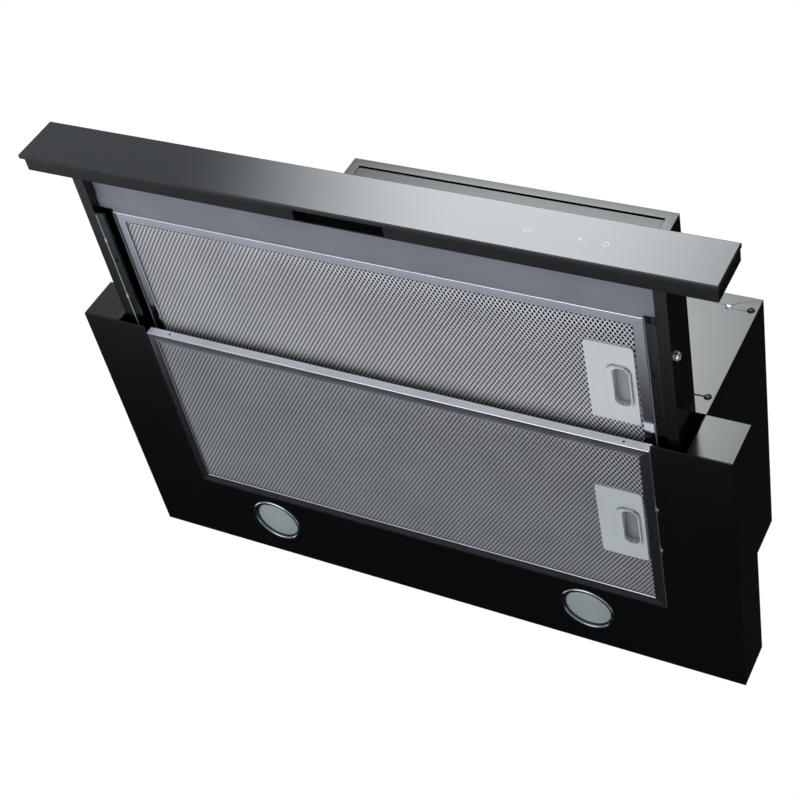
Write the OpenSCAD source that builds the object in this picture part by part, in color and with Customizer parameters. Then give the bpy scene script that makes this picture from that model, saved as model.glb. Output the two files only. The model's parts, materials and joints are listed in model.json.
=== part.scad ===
// Pull-out range hood for a 600 mm wall cabinet, drawn with its tray pulled out.
// The origin is the centre of the four cabinet screw holes, on the top faces of the wings.
// +X points right as seen from the front, +Y to the wall and +Z up.

/* [Fixed case] */
// Overall width of the hood
case_w = 600; // [580:5:900]
// Depth of the wings and the underside panel
case_d = 280; // [278:1:320]
// Height of the wings
wing_h = 43; // [42:0.5:55]
// Width of each wing beside the chassis
wing_w = 35.5; // [25:0.5:45]
// Thickness of the folded steel sheet
sheet_t = 1; // [0.8:0.1:1.2]
// Depth of the filter opening in the underside panel, from the front
opening_d = 200; // [180:1:205]
// Height of the lip folded up along the rear of the underside panel
rear_lip_h = 12; // [6:1:20]
// Spacing of the cabinet screw holes from front to rear
cabinet_hole_spacing = 200; // [150:5:240]
// Diameter of the cabinet screw holes
cabinet_hole_d = 4.5; // [4:0.1:6]

/* [Chassis] */
// Height of the chassis above the wings
chassis_h = 134; // [120:1:160]
// Distance of the chassis from the rear edge of the case
chassis_from_rear = 5; // [2:0.5:12]
// Width of the flanges folded behind the front and rear panels
chassis_flange = 30; // [28:1:40]

/* [Top box] */
// Width of the top box
top_box_w = 323; // [300:1:340]
// Height of the top box
top_box_h = 85; // [75:1:100]
// Depth of the top box
top_box_d = 262; // [240:1:266]
// Width of the rim round the recessed front panel
rim_w = 9.5; // [8:0.5:14]
// Height of the dark gap above the recessed panel
panel_gap = 1.6; // [1:0.1:3]
// How far the panel lies behind the rim's face
panel_recess = 0.8; // [0.4:0.1:2]
// Depth of the return folded at the panel's top edge
panel_return = 10; // [5:1:15]

/* [Duct collar] */
// Outer diameter of the duct collar
collar_d = 149; // [148:0.5:152]
// Height of the collar above its flange
collar_h = 35; // [30:1:45]
// Wall of the collar
collar_wall = 2; // [1.5:0.1:3]
// Width of the collar's flange outside the tube
collar_flange_w = 14; // [10:1:18]
// Thickness of the collar's flange
collar_flange_t = 3; // [2:0.5:4]
// Height of the flap ledge above the flange
ledge_rise = 5; // [3:0.5:8]
// Width of the flap ledge inside the collar
ledge_w = 4; // [3:0.5:5]
// Thickness of the flap ledge
ledge_t = 1.5; // [1:0.1:2]
// Distance of the collar's centre from the front of the case
duct_from_front = 148; // [146:1:156]
// Distance of the damper pin's ends inside the collar's outer face
pin_end_inset = 0.5; // [0.2:0.1:0.8]

/* [Damper] */
// Thickness of each flap
flap_t = 1.2; // [1:0.1:1.6]
// Gap between the flaps' edge and the collar
flap_gap = 1; // [0.6:0.1:1.5]
// Diameter of the damper pin
damper_pin_d = 4; // [3:0.1:4.5]
// Outer diameter of the flaps' knuckles
knuckle_d = 8; // [7:0.1:9]
// Length of each knuckle
knuckle_l = 20; // [14:1:22]
// Pitch of the knuckles along the pin
knuckle_pitch = 36; // [34:0.5:36]

/* [Blower] */
// Diameter of the impeller
impeller_d = 140; // [130:1:142]
// Width of the impeller along its axis
impeller_w = 88; // [70:1:92]
// Number of blades on the impeller
blade_count = 32; // [20:1:40]
// Radial depth of the blades
blade_depth = 13; // [10:1:14]
// Thickness of a blade
blade_t = 1; // [0.8:0.1:1.2]
// Angle by which a blade's inner edge leads its outer edge
blade_lead = 7; // [5:0.5:9]
// Distance of the blades' outer edge inside the end rings' rim
blade_inset = 0.6; // [0.4:0.1:1]
// Thickness of the impeller's end rings
end_ring_t = 3; // [2:0.5:4]
// Thickness of the impeller's middle disc
disc_t = 2; // [1.5:0.5:3]
// Diameter of the impeller's hub
hub_d = 24; // [20:1:28]
// Length of the impeller's hub on the side away from the motor
hub_l = 12; // [8:1:16]
// Width of the inlet ring's bell mouth
bell_w = 9; // [6:1:12]
// Depth of the inlet ring inside the scroll's side
bell_depth = 3; // [2.5:0.5:4]
// Height of the impeller's axis above the wings
blower_z = 108; // [104:1:112]
// Width of the scroll along the impeller's axis
scroll_w = 110; // [106:1:114]
// Wall of the scroll
scroll_wall = 2; // [1.6:0.1:2.4]
// Gap between the impeller and the scroll at the cut-off
cutoff_gap = 6; // [5:0.5:8]
// Angle of the scroll's cut-off behind the top
tongue_angle = 10; // [8:1:12]
// Depth of the scroll's outlet, front to rear
outlet_d = 88; // [84:1:90]
// Width of the flange round the outlet, which hangs the scroll from the top box
outlet_flange_w = 22; // [20:1:26]
// Diameter of the air inlets in the scroll's sides
inlet_d = 120; // [112:1:122]

/* [Motor] */
// Diameter of the motor
motor_d = 80; // [70:1:84]
// Length of the motor
motor_l = 62; // [56:1:66]
// Distance of the motor from the impeller's disc
motor_gap = 8; // [6:1:10]
// Diameter of the rotor shaft
shaft_d = 8; // [6:0.5:10]
// How far the shaft stands out at each end
shaft_end_l = 4; // [2:1:8]
// Length of the motor's tapered ends
motor_end_l = 6; // [4:1:8]
// Diameter of the motor's nose
motor_nose_d = 40; // [30:1:50]
// Width of the three arms that carry the motor
bracket_arm_w = 14; // [10:1:18]
// Thickness of the bracket's plate
bracket_t = 1.5; // [1.2:0.1:2]
// Width of the bracket's ring round the inlet
bracket_ring_w = 10; // [8:1:12]
// Length of the bracket's collar round the motor
bracket_collar_l = 10; // [8:1:14]
// Wall of the bracket's collar
bracket_collar_wall = 3; // [2:0.5:4]

/* [Control box] */
// Width of the control box
control_w = 74; // [60:1:80]
// Depth of the control box
control_d = 120; // [100:1:140]
// Height of the control box
control_h = 42; // [30:1:50]
// Wall of the control box
control_wall = 2; // [1.5:0.1:2.5]
// Gap between the control box and the chassis side
control_gap = 14; // [4:1:20]
// Height of the lid's rim inside the control box
lid_rim_h = 4; // [3:0.5:8]
// Diameter of the cable gland's bore
gland_bore_d = 9; // [7:0.5:10]
// Wall of the cable gland
gland_wall = 3.1; // [2.5:0.1:4]
// Height of the gland's dome above the chassis
gland_h = 12; // [9:1:16]
// Height of the gland's hexagons
gland_hex_h = 4.5; // [3:0.5:6]
// How far the gland's hexagon stands past its thread
gland_hex_w = 2; // [1.5:0.1:2.5]
// How far the gland's nut stands past its thread
gland_nut_w = 3; // [2:0.1:4]
// How far the gland's dome lies inside its thread
gland_dome_inset = 1; // [0.5:0.1:1.5]
// Length of the gland's thread below the chassis top
gland_thread_l = 6; // [6:0.5:9]
// Distance of the gland from the chassis's rear panel
gland_from_rear = 45; // [30:1:60]

/* [Lamps] */
// Distance of each lamp from the middle
lamp_x = 159.3; // [140:0.1:175]
// Distance of the lamps from the rear edge
lamp_from_rear = 46.5; // [42:0.1:48]
// Diameter of the lamp bezel
lamp_d = 52; // [50:0.5:56]
// How far the bezel stands below the underside
bezel_t = 1.2; // [0.8:0.1:2]
// Width of the bezel's chamfers
bezel_chamfer = 1; // [0.6:0.1:1.4]
// How far the bezel's flange reaches past its neck
bezel_lap = 2.2; // [2:0.1:3]
// Wall of the bezel's neck
bezel_wall = 1.6; // [1.2:0.1:2]
// Height of the bezel's neck above the underside panel
bezel_neck_h = 5; // [4:0.5:8]
// Depth of the lens's bulge
lens_bulge = 1.6; // [1:0.1:2]
// Thickness of the lens's rim
lens_t = 1.4; // [1:0.1:2]
// Height of the lamp housing above the underside panel
lamp_h = 26; // [20:1:30]
// Wall of the lamp housing
lamp_wall = 1.2; // [1:0.1:1.5]
// Width of the lamp housing's flange and of its bevelled corner
lamp_flange_w = 6; // [5:0.5:7]

/* [Front bar] */
// Distance of the glass fascia's ends inside the case's sides
glass_side_gap = 1.5; // [0.5:0.5:6]
// Height of the glass fascia
glass_h = 46.5; // [44:0.5:60]
// Thickness of the glass
glass_t = 4; // [3:0.5:5]
// How far the glass hangs below the underside
glass_drop = 1.5; // [0.5:0.1:3]
// Chamfer along the glass edges
glass_chamfer = 0.6; // [0.3:0.1:0.9]
// How far the bar body lies inside the glass at each end
bar_inset = 1.5; // [0.5:0.5:4]
// Height of the bar body
bar_h = 44.7; // [42:0.1:55]
// Height of the bar body's bottom above the underside
bar_rise = 1.8; // [1:0.1:3]
// Depth of the bar body behind the glass
bar_d = 14; // [12:0.5:18]
// Wall of the bar body
bar_wall = 1.2; // [1:0.1:1.5]
// Width of the finger recess under the bar
recess_w = 78; // [60:1:100]
// Height of the finger recess
recess_h = 11; // [8:0.5:14]

/* [Touch board] */
// Number of touch keys
key_count = 4; // [2:1:6]
// Distance between touch keys
key_pitch = 20; // [16:1:20]
// Distance of the last key from the glass end
key_from_end = 88.5; // [70:0.5:120]
// Height of the keys above the underside
key_rise = 19.5; // [16:0.5:24]
// Height of the touch board
board_h = 15; // [12:1:18]
// Thickness of the touch board
board_t = 1.6; // [1.2:0.1:2]
// Length of the touch board past its outer keys
board_end_l = 14; // [8:1:20]
// Diameter of the key sensors
key_d = 8; // [6:0.5:10]
// Height of the key sensors behind the board
key_h = 2; // [1:0.5:4]

/* [Tray] */
// Distance from the bar to the case when pulled out
pull_out = 160; // [140:1:165]
// Gap that stays between the bar and the case when pushed in
closed_gap = 1.5; // [1:0.1:4]
// Gap between each arm and the chassis side
arm_side_gap = 7.5; // [5:0.1:9]
// Width of each arm
arm_w = 10; // [8:0.5:12]
// Height of each arm
arm_h = 33.7; // [32:0.1:34]
// Height of the arms' bottom above the underside
arm_rise = 6.3; // [5:0.1:6.5]
// Wall of the arms
arm_wall = 1.2; // [1:0.1:1.6]
// Thickness of the tray's inner sheet
tray_sheet_t = 0.8; // [0.6:0.1:1]
// Depth of the pan between the bar and the upper filter
pan_d = 41.5; // [40:0.5:44]
// Height of the pan above the underside at the bar
pan_rise = 16; // [15.5:0.1:18]
// How far the pan drops towards the filter
pan_drop = 1.4; // [0.5:0.1:1.8]
// Distance of the pan's fold from the bar
pan_fold = 24; // [20:1:28]
// Length of the pan's fold
pan_fold_l = 5; // [3:0.5:8]
// Distance of the pan's relief notch from its right end
pan_notch_x = 22; // [15:1:30]
// Width and depth of the pan's relief notch
pan_notch = 5; // [3:0.5:8]
// Depth of the shelf under the upper filter's rear edge
shelf_d = 6; // [4:0.5:8]
// Height of the flanges that stand beside the upper filter
tray_flange_top = 24; // [22.5:0.1:24.2]

/* [Slides] */
// Height of the slides
slide_h = 17; // [16.5:0.1:17.4]
// Thickness of the slides
slide_w = 9.7; // [9.4:0.1:10.2]
// Length of each slide member
slide_l = 214; // [205:1:215]
// Height of the slides' middle above the underside
slide_rise = 15.3; // [15.1:0.1:15.5]
// Thickness of the slide members' webs and lips
slide_t = 1; // [0.9:0.1:1.1]
// Thickness of the slide members' legs
slide_leg_t = 1.2; // [1.1:0.1:1.3]
// Space between the fixed member and the moving member's web
slide_web_gap = 1.7; // [1.5:0.1:1.9]
// Space between the moving member's lips and the runner rail
slide_lip_gap = 1.7; // [1:0.1:2]
// Distance of the moving member's front end from the bar
slide_from_bar = 39; // [30:1:45]
// Height of the fixed member
slide_core_h = 9; // [8.6:0.1:9.2]
// Length of the ball cage
cage_l = 50; // [40:1:52]
// Sheet thickness of the ball cage
cage_t = 0.6; // [0.5:0.1:0.8]
// Diameter of the balls
ball_d = 2.2; // [2:0.1:2.2]
// Distance between balls
ball_pitch = 8; // [6:0.5:10]
// Space between the fixed member and the moving member's lips
slide_mouth_gap = 1.5; // [1.2:0.1:1.8]
// Distance of the first stamped tab from the slide's front end
slide_tab_y = 28; // [20:1:35]
// Distance between the stamped tabs
slide_tab_pitch = 63; // [50:1:70]
// Length of a stamped tab
slide_tab_l = 4; // [3:0.5:6]
// Width of a stamped tab
slide_tab_w = 1.6; // [1:0.1:2]
// How far a stamped tab stands below the slide
slide_tab_h = 0.8; // [0.5:0.1:1]
// Diameter of the hole in the slide's legs
slide_hole_d = 3; // [2:0.1:3.5]
// Distance of that hole from the slide's front end
slide_hole_y = 52; // [45:1:58]
// Height of the rails that carry the fixed members
runner_rail_h = 22; // [20.5:0.5:22.5]

/* [Filters] */
// Thickness of each grease filter
filter_t = 8; // [7.6:0.1:8.4]
// Width of the filter frame's flanges
filter_border = 9.3; // [8:0.1:10]
// Sheet thickness of the filter frame
frame_t = 1; // [0.8:0.1:1.2]
// Gap between the filters and the opening's edges
filter_gap = 1; // [0.8:0.1:1.4]
// Distance of the lower filter from the front of the case
lower_filter_inset = 7; // [5:0.5:10]
// Depth of the upper filter
upper_filter_d = 147; // [140:1:150]
// Height of the upper filter above the underside
upper_filter_rise = 14; // [13.6:0.1:14.4]
// Space between the filters' side edges and the runner rails
filter_rail_space = 2.3; // [2.2:0.1:2.8]
// Width of the tabs on the filters' left edge
tab_w = 14; // [10:1:18]
// Distance of the tabs from the filter's middle
tab_y = 45; // [40:1:50]
// How far tabs and latch bolts reach past the filter's edge
tab_reach = 1.8; // [1.6:0.05:1.85]
// Thickness of the tabs on the filters' left edge
tab_t = 2; // [1.6:0.1:2.2]
// Width of the slope at the mesh's pillowed edge
pillow = 3; // [2:0.5:5]
// Height of the mesh's pillow above its edge
pillow_h = 0.8; // [0.4:0.1:1]
// Thickness of the outer mesh layers
mesh_t = 0.5; // [0.4:0.1:0.8]

/* [Handles] */
// Width of the handle plate
handle_w = 40; // [38:0.5:44]
// Length of the handle plate
handle_l = 81; // [78:1:90]
// Gap between the handle plate and the filter's edge
handle_from_edge = 10.3; // [10.2:0.1:12]
// How far the lower handle lies in front of the filter's middle
lower_handle_shift = 2; // [0:0.5:6]
// Thickness of the handle plate
handle_t = 1.8; // [1.4:0.1:2]
// How far the handle plate stands below the filter
handle_proud = 0.6; // [0.4:0.1:0.8]
// Corner radius of the handle plate
handle_corner = 3; // [1:0.5:5]
// Width of the finger cup
cup_w = 13; // [12:0.5:14]
// Length of the finger cup
cup_l = 39; // [34:1:42]
// Corner radius of the latch round its cup
cup_corner = 6.5; // [4:0.5:6.5]
// How much shallower the finger cup is at its left side
cup_scoop = 1.2; // [0.6:0.1:1.8]
// Distance of the finger cup from the plate's right edge
cup_from_edge = 4.7; // [4.4:0.1:5]
// Width of the lip beside the cup
lip_w = 5; // [4.8:0.1:5.2]
// How far the lip stands below the handle plate
lip_h = 2; // [1.5:0.1:2.4]
// Width of the grip ridge on the lip
grip_w = 1.2; // [0.8:0.1:2]
// Height of the grip ridge on the lip
grip_h = 0.6; // [0.4:0.1:0.8]
// Travel of the latch
latch_travel = 4; // [3:0.1:4]
// Distance of the latch bolts from the handle's middle
bolt_y = 25; // [24:0.5:25.5]
// Width of each latch bolt
bolt_w = 5; // [4:0.5:5.5]
// Thickness of the latch bolts
bolt_t = 2; // [1.6:0.1:2.2]
// Height of the latch bolts above the filter's bottom flange
bolt_rise = 1.4; // [1.2:0.1:1.6]
// Wall of the finger cup and of the latch's housing
latch_wall = 1; // [0.8:0.1:1]
// Space inside the housing beside the latch's travel
housing_space = 2; // [1:0.5:3]
// Space beside the lower latch bolts in the underside panel
notch_space = 1; // [0.8:0.1:1.5]

/* [Fasteners] */
// Head diameter of the chassis screws
screw_head_d = 6.8; // [6:0.1:8]
// Head height of the chassis screws
screw_head_h = 1.8; // [1.4:0.1:2.4]
// Shank diameter of the chassis screws
screw_d = 3.5; // [3:0.1:4]
// Shank length of the chassis screws
screw_l = 8; // [6:1:10]
// Distance of the black screws from the chassis side
screw_edge = 5.5; // [5.5:0.1:8]
// Distance of the silver screws from the chassis side
silver_screw_edge = 23.8; // [20:0.1:25]
// Distance of the upper screws from the chassis top
screw_from_top = 15; // [10:1:25]
// Height of the lower screws above the wings
screw_low_z = 18; // [12:1:30]
// Head diameter of the arm screws
arm_screw_head_d = 9; // [8:0.1:10]
// Head height of the arm screws
arm_screw_head_h = 2.4; // [1.8:0.1:3]
// Shank diameter of the arm screws
arm_screw_d = 4; // [3.5:0.1:4.5]
// Distance of the arm screws from the bar
arm_screw_from_bar = 74; // [60:1:90]
// Width of the arm screws' cross recess
cross_w = 1.2; // [1:0.1:1.5]
// Length of the arm screws' cross recess
cross_l = 5; // [4:0.5:6]

/* [Fits] */
// Clearance between pieces that slide past each other
running_gap = 0.3; // [0.25:0.05:0.35]
// Clearance round pieces that sit in a seat
seat_gap = 0.2; // [0.1:0.05:0.25]
// Radial clearance of pins and shafts in their bores
pin_gap = 0.08; // [0.05:0.01:0.1]

/* [Hidden] */

// Smoothness of round parts
$fn = 64;
// Overshoot of cutting shapes past the face they cut
cut = 1;

// Planes of the fixed case
front_y = -case_d / 2;
rear_y = case_d / 2;
under_z = -wing_h;
panel_top_z = under_z + sheet_t;
chassis_w = case_w - 2 * wing_w;
chassis_back_y = rear_y - chassis_from_rear;
chassis_top_z = chassis_h;
box_back_y = front_y + top_box_d;
box_top_z = chassis_top_z + top_box_h;
cabinet_hole_x = chassis_w / 2 + wing_w / 2;
duct_y = front_y + duct_from_front;
glass_w = case_w - 2 * glass_side_gap;

// Sections across one side, from the chassis inwards
arm_out_x = chassis_w / 2 - arm_side_gap;
arm_in_x = arm_out_x - arm_w;
rail_out_x = arm_in_x - slide_w;
rail_in_x = rail_out_x - sheet_t;
filter_w = 2 * (rail_in_x - filter_rail_space);
opening_w = filter_w + 2 * filter_gap;
side_rail_in_x = filter_w / 2 + 2 * seat_gap;
slide_core_w = slide_w - slide_web_gap - slide_t;
slide_shell_w = slide_w - slide_lip_gap;
slide_mouth = slide_core_h + 2 * slide_mouth_gap;
lip_in_x = arm_in_x - slide_shell_w + slide_t;

// Places along the tray, pulled out
bar_back_y = front_y - pull_out;
bar_front_y = bar_back_y - bar_d;
tray_travel = pull_out - closed_gap;
slide_y = bar_back_y + slide_from_bar;
slide_fixed_y = slide_y + tray_travel;
cage_y = (slide_fixed_y + slide_y + slide_l) / 2 - cage_l / 2;
upper_filter_y = bar_back_y + pan_d;
upper_filter_back_y = upper_filter_y + upper_filter_d;
tray_back_y = upper_filter_back_y + seat_gap + tray_sheet_t;
arm_end_y = slide_y + slide_l;

// Heights of the tray
arm_z = under_z + arm_rise;
arm_top_z = arm_z + arm_h;
slide_z = under_z + slide_rise;
upper_filter_z = under_z + upper_filter_rise;
pan_z = under_z + pan_rise;
tray_flange_z = under_z + tray_flange_top;

// The lower filter and its swing axis
lower_filter_y = front_y + lower_filter_inset;
lower_filter_d = opening_d - lower_filter_inset - filter_gap;
lower_handle_y = lower_filter_d / 2 - lower_handle_shift;
upper_handle_y = upper_filter_d / 2;

// The latch, measured from the filter's own corner frame: x from the middle, z from the filter's bottom
handle_right = filter_w / 2 - handle_from_edge;
handle_left = handle_right - handle_w;
cup_right = handle_right - cup_from_edge;
cup_left = cup_right - cup_w;
bolt_z = frame_t + bolt_rise;
housing_left = cup_left - latch_travel - housing_space - 2 * latch_wall;
housing_y = bolt_y + bolt_w / 2 + latch_wall + running_gap;
housing_right = handle_right - running_gap;
housing_top = filter_t - frame_t;
tab_z = frame_t + seat_gap;

// The blower
impeller_r = impeller_d / 2;
scroll_r0 = impeller_r + cutoff_gap;
scroll_steps = 40;
spiral_end = 270;
tongue_y = scroll_r0 * sin(tongue_angle);
scroll_growth = (outlet_d + tongue_y - scroll_r0) * 360 / (spiral_end + tongue_angle);
blower_y = duct_y - outlet_d / 2 - tongue_y;
scroll_front_y = blower_y - scroll_r(90);
scroll_top = box_top_z - sheet_t - blower_z;
motor_end_x = motor_gap + motor_l;

// The duct collar and its damper
collar_r = collar_d / 2;
collar_in_r = collar_r - collar_wall;
ledge_z = box_top_z + collar_flange_t + ledge_rise;
flap_z = ledge_z + ledge_t + running_gap + flap_t / 2;
flap_r = collar_in_r - flap_gap;
knuckle_r = knuckle_d / 2;

// The lamps
lamp_r = lamp_d / 2;
lamp_y = rear_y - lamp_from_rear;
lamp_neck_r = lamp_r - bezel_lap;
lamp_bore_r = lamp_neck_r - bezel_wall;
lamp_hole_r = lamp_neck_r + seat_gap;

// The control box and the gland, beside the top box
control_x = chassis_w / 2 - sheet_t - control_gap - control_w;
control_y = -control_d / 2;
gland_x = (top_box_w + chassis_w) / 4;
gland_y = chassis_back_y - gland_from_rear;
gland_r = gland_bore_d / 2 + gland_wall;

// Colours
black_paint = [0.06, 0.065, 0.07];
dark_plastic = [0.12, 0.13, 0.14];
fascia_grey = [0.45, 0.47, 0.49];
zinc = [0.55, 0.58, 0.57];
aluminium = [0.72, 0.74, 0.76];
mesh_grey = [0.62, 0.63, 0.66];
light_plastic = [0.74, 0.76, 0.77];
sheet_grey = [0.45, 0.46, 0.49];
lens_green = [0.75, 0.82, 0.8];
chrome = [0.8, 0.82, 0.84];
board_green = [0.1, 0.3, 0.2];
white_plastic = [0.85, 0.85, 0.83];

// A box between two values on each axis
module slab(x, y, z)
    translate([x[0], y[0], z[0]])
        cube([x[1] - x[0], y[1] - y[0], z[1] - z[0]]);

// Children drawn on the right side, or mirrored to the left
module on_side(side)
    mirror([side < 0 ? 1 : 0, 0, 0]) children();

// Children drawn on both sides
module both_sides() {
    children();
    mirror([1, 0, 0]) children();
}

// A range from its middle and half its length
function span(middle, half) = [middle - half, middle + half];

// An outline in Y and Z, extruded along X
module along_x(x)
    translate([x[0], 0, 0])
        rotate([90, 0, 90])
            linear_extrude(x[1] - x[0]) children();

// A round rod along X
module rod_x(x, y, z, r, sides = 64)
    translate([x[0], y, z])
        rotate([0, 90, 0])
            cylinder(r = r, h = x[1] - x[0], $fn = sides);

// A round rod along Y
module rod_y(x, y, z, r)
    translate([x, y[0], z])
        rotate([-90, 0, 0])
            cylinder(r = r, h = y[1] - y[0]);

// The fixed case

module underside_panel()
    color(black_paint)
        difference() {
            union() {
                slab([-case_w / 2, case_w / 2], [front_y, rear_y], [under_z, panel_top_z]);
                slab([-chassis_w / 2, chassis_w / 2], [rear_y - sheet_t, rear_y],
                     [under_z, under_z + rear_lip_h]);
            }
            slab([-opening_w / 2, opening_w / 2], [front_y - cut, front_y + opening_d],
                 [under_z - cut, panel_top_z + cut]);
            both_sides()
                translate([lamp_x, lamp_y, under_z - cut])
                    cylinder(r = lamp_hole_r, h = sheet_t + 2 * cut);
            latch_notches();
        }

// Notches in the underside panel through which the lower latch bolts drop
module latch_notches()
    for (end = [-1, 1])
        translate([0, lower_filter_y + lower_filter_d / 2 - lower_handle_shift + end * bolt_y, 0])
            slab([opening_w / 2 - cut, filter_w / 2 + tab_reach + 2 * running_gap],
                 span(0, bolt_w / 2 + notch_space), [under_z - cut, panel_top_z + cut]);

module wing(side)
    color(black_paint)
        on_side(side)
            difference() {
                slab([chassis_w / 2, case_w / 2], [front_y, rear_y], [panel_top_z, 0]);
                slab([chassis_w / 2 - cut, case_w / 2 - sheet_t], [front_y + sheet_t, rear_y - sheet_t],
                     [panel_top_z - cut, -sheet_t]);
                for (end = [-1, 1])
                    translate([cabinet_hole_x, end * cabinet_hole_spacing / 2, -sheet_t - cut])
                        cylinder(d = cabinet_hole_d, h = sheet_t + 2 * cut);
            }

// The chassis

module chassis_shell()
    color(black_paint)
        difference() {
            union() {
                both_sides() {
                    slab([chassis_w / 2 - sheet_t, chassis_w / 2],
                         [front_y + sheet_t, chassis_back_y - sheet_t], [panel_top_z, chassis_top_z]);
                    slab([chassis_w / 2 - chassis_flange, chassis_w / 2 - sheet_t / 2],
                         [front_y + sheet_t, front_y + 2 * sheet_t], [0, chassis_top_z]);
                    slab([chassis_w / 2 - chassis_flange, chassis_w / 2 - sheet_t / 2],
                         [chassis_back_y - 2 * sheet_t, chassis_back_y - sheet_t], [0, chassis_top_z]);
                }
                slab([-chassis_w / 2, chassis_w / 2], [front_y + sheet_t, chassis_back_y - sheet_t],
                     [chassis_top_z - sheet_t, chassis_top_z]);
            }
            slab(span(0, top_box_w / 2 - rim_w), [scroll_front_y - sheet_t, box_back_y - rim_w],
                 [chassis_top_z - sheet_t - cut, chassis_top_z + cut]);
            translate([gland_x, gland_y, chassis_top_z - sheet_t - cut])
                cylinder(r = gland_r + seat_gap, h = sheet_t + 2 * cut);
            screw_holes();
        }

module chassis_front()
    color(black_paint)
        difference() {
            slab([-chassis_w / 2, chassis_w / 2], [front_y, front_y + sheet_t], [0, chassis_top_z]);
            screw_holes();
        }

module chassis_rear()
    color(black_paint)
        difference() {
            slab([-chassis_w / 2, chassis_w / 2], [chassis_back_y - sheet_t, chassis_back_y],
                 [panel_top_z, chassis_top_z]);
            screw_holes();
        }

// Places of the chassis screws on the right side: x, z and whether the screw is silver
screw_places = [
    [chassis_w / 2 - screw_edge, chassis_top_z - screw_from_top, false],
    [chassis_w / 2 - screw_edge, screw_low_z, false],
    [chassis_w / 2 - silver_screw_edge, chassis_top_z - screw_from_top, true]
];

module screw_holes()
    both_sides()
        for (place = screw_places)
            rod_y(place[0], [front_y - cut, chassis_back_y + cut], place[1], screw_d / 2 + seat_gap);

// A button-head screw that points along +Y, its head's underside at y = 0
module panel_screw() {
    dome_r = (screw_head_d * screw_head_d / 4 + screw_head_h * screw_head_h) / (2 * screw_head_h);
    rotate([90, 0, 0])
        difference() {
            union() {
                intersection() {
                    cylinder(d = screw_head_d, h = screw_head_h);
                    translate([0, 0, screw_head_h - dome_r]) sphere(r = dome_r);
                }
                translate([0, 0, -screw_l]) cylinder(d = screw_d, h = screw_l + screw_head_h / 2);
            }
            translate([0, 0, screw_head_h / 3])
                cylinder(d = screw_head_d * 0.4, h = screw_head_h, $fn = 6);
        }
}

module panel_screws(silver)
    color(silver ? chrome : black_paint)
        both_sides()
            for (place = screw_places)
                if (place[2] == silver) {
                    translate([place[0], front_y, place[1]]) panel_screw();
                    translate([place[0], chassis_back_y, place[1]]) rotate([0, 0, 180]) panel_screw();
                }

// The top box

module top_box_shell()
    color(black_paint)
        difference() {
            slab(span(0, top_box_w / 2), [front_y, box_back_y], [chassis_top_z, box_top_z]);
            slab(span(0, top_box_w / 2 - sheet_t), [front_y + sheet_t, box_back_y - sheet_t],
                 [chassis_top_z - cut, box_top_z - sheet_t]);
            slab(span(0, top_box_w / 2 - rim_w), [front_y - cut, front_y + sheet_t + cut],
                 [chassis_top_z - cut, box_top_z - rim_w]);
            translate([0, duct_y, box_top_z - sheet_t - cut])
                cylinder(r = collar_in_r, h = sheet_t + 2 * cut, $fn = 96);
        }

module top_box_front()
    color(black_paint) {
        panel_top = box_top_z - rim_w - panel_gap;
        panel_y = front_y + panel_recess;
        half_w = top_box_w / 2 - rim_w - seat_gap;
        slab(span(0, half_w), [panel_y, panel_y + sheet_t], [chassis_top_z, panel_top]);
        slab(span(0, half_w), [panel_y + sheet_t / 2, panel_y + panel_return],
             [panel_top - sheet_t, panel_top]);
    }

// The duct collar and its damper

module duct_collar()
    color(dark_plastic)
        translate([0, duct_y, 0])
            difference() {
                translate([0, 0, box_top_z]) {
                    cylinder(r = collar_r + collar_flange_w, h = collar_flange_t, $fn = 96);
                    cylinder(r = collar_r, h = collar_flange_t + collar_h, $fn = 96);
                }
                translate([0, 0, box_top_z - cut])
                    cylinder(r = collar_in_r, h = ledge_z - box_top_z + cut, $fn = 96);
                translate([0, 0, ledge_z - cut])
                    cylinder(r = collar_in_r - ledge_w, h = ledge_t + 2 * cut, $fn = 96);
                translate([0, 0, ledge_z + ledge_t])
                    cylinder(r = collar_in_r, h = collar_h, $fn = 96);
                rod_y(0, [-collar_r - cut, collar_r + cut], flap_z, damper_pin_d / 2 + pin_gap);
            }

module damper_pin()
    color(zinc)
        rod_y(0, span(duct_y, collar_r - pin_end_inset), flap_z, damper_pin_d / 2);

// Middles of one flap's knuckles along the pin
function knuckle_places(side) = [for (k = [-1.5, 0.5]) side * k * knuckle_pitch];

module damper_flap(side)
    color(white_plastic)
        translate([0, duct_y, flap_z])
            difference() {
                union() {
                    intersection() {
                        translate([0, 0, -flap_t / 2]) cylinder(r = flap_r, h = flap_t, $fn = 96);
                        on_side(side)
                            slab([knuckle_r + 2 * running_gap, flap_r + cut], [-flap_r - cut, flap_r + cut],
                                 [-flap_t, flap_t]);
                    }
                    for (y = knuckle_places(side)) {
                        rod_y(0, span(y, knuckle_l / 2), 0, knuckle_r);
                        on_side(side)
                            slab([knuckle_r / 2, knuckle_r + cut], span(y, knuckle_l / 2),
                                 [-flap_t / 2, flap_t / 2]);
                    }
                }
                rod_y(0, [-collar_r, collar_r], 0, damper_pin_d / 2 + pin_gap);
            }

// The blower: a spiral scroll round a wheel on the X axis, open upwards

// Radius of the scroll at an angle from the top towards the front
function scroll_r(angle) = scroll_r0 + scroll_growth * (angle + tongue_angle) / 360;

// Outline of the scroll, drawn in by the given wall
function scroll_outline(wall, top) =
    let (start = -asin((tongue_y + wall) / (scroll_r0 - wall)))
    concat(
        [for (i = [0 : scroll_steps])
            let (angle = start + (spiral_end - start) * i / scroll_steps, r = scroll_r(angle) - wall)
            [-r * sin(angle), r * cos(angle)]],
        [[scroll_r(spiral_end) - wall, top], [tongue_y + wall, top]]
    );

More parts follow.
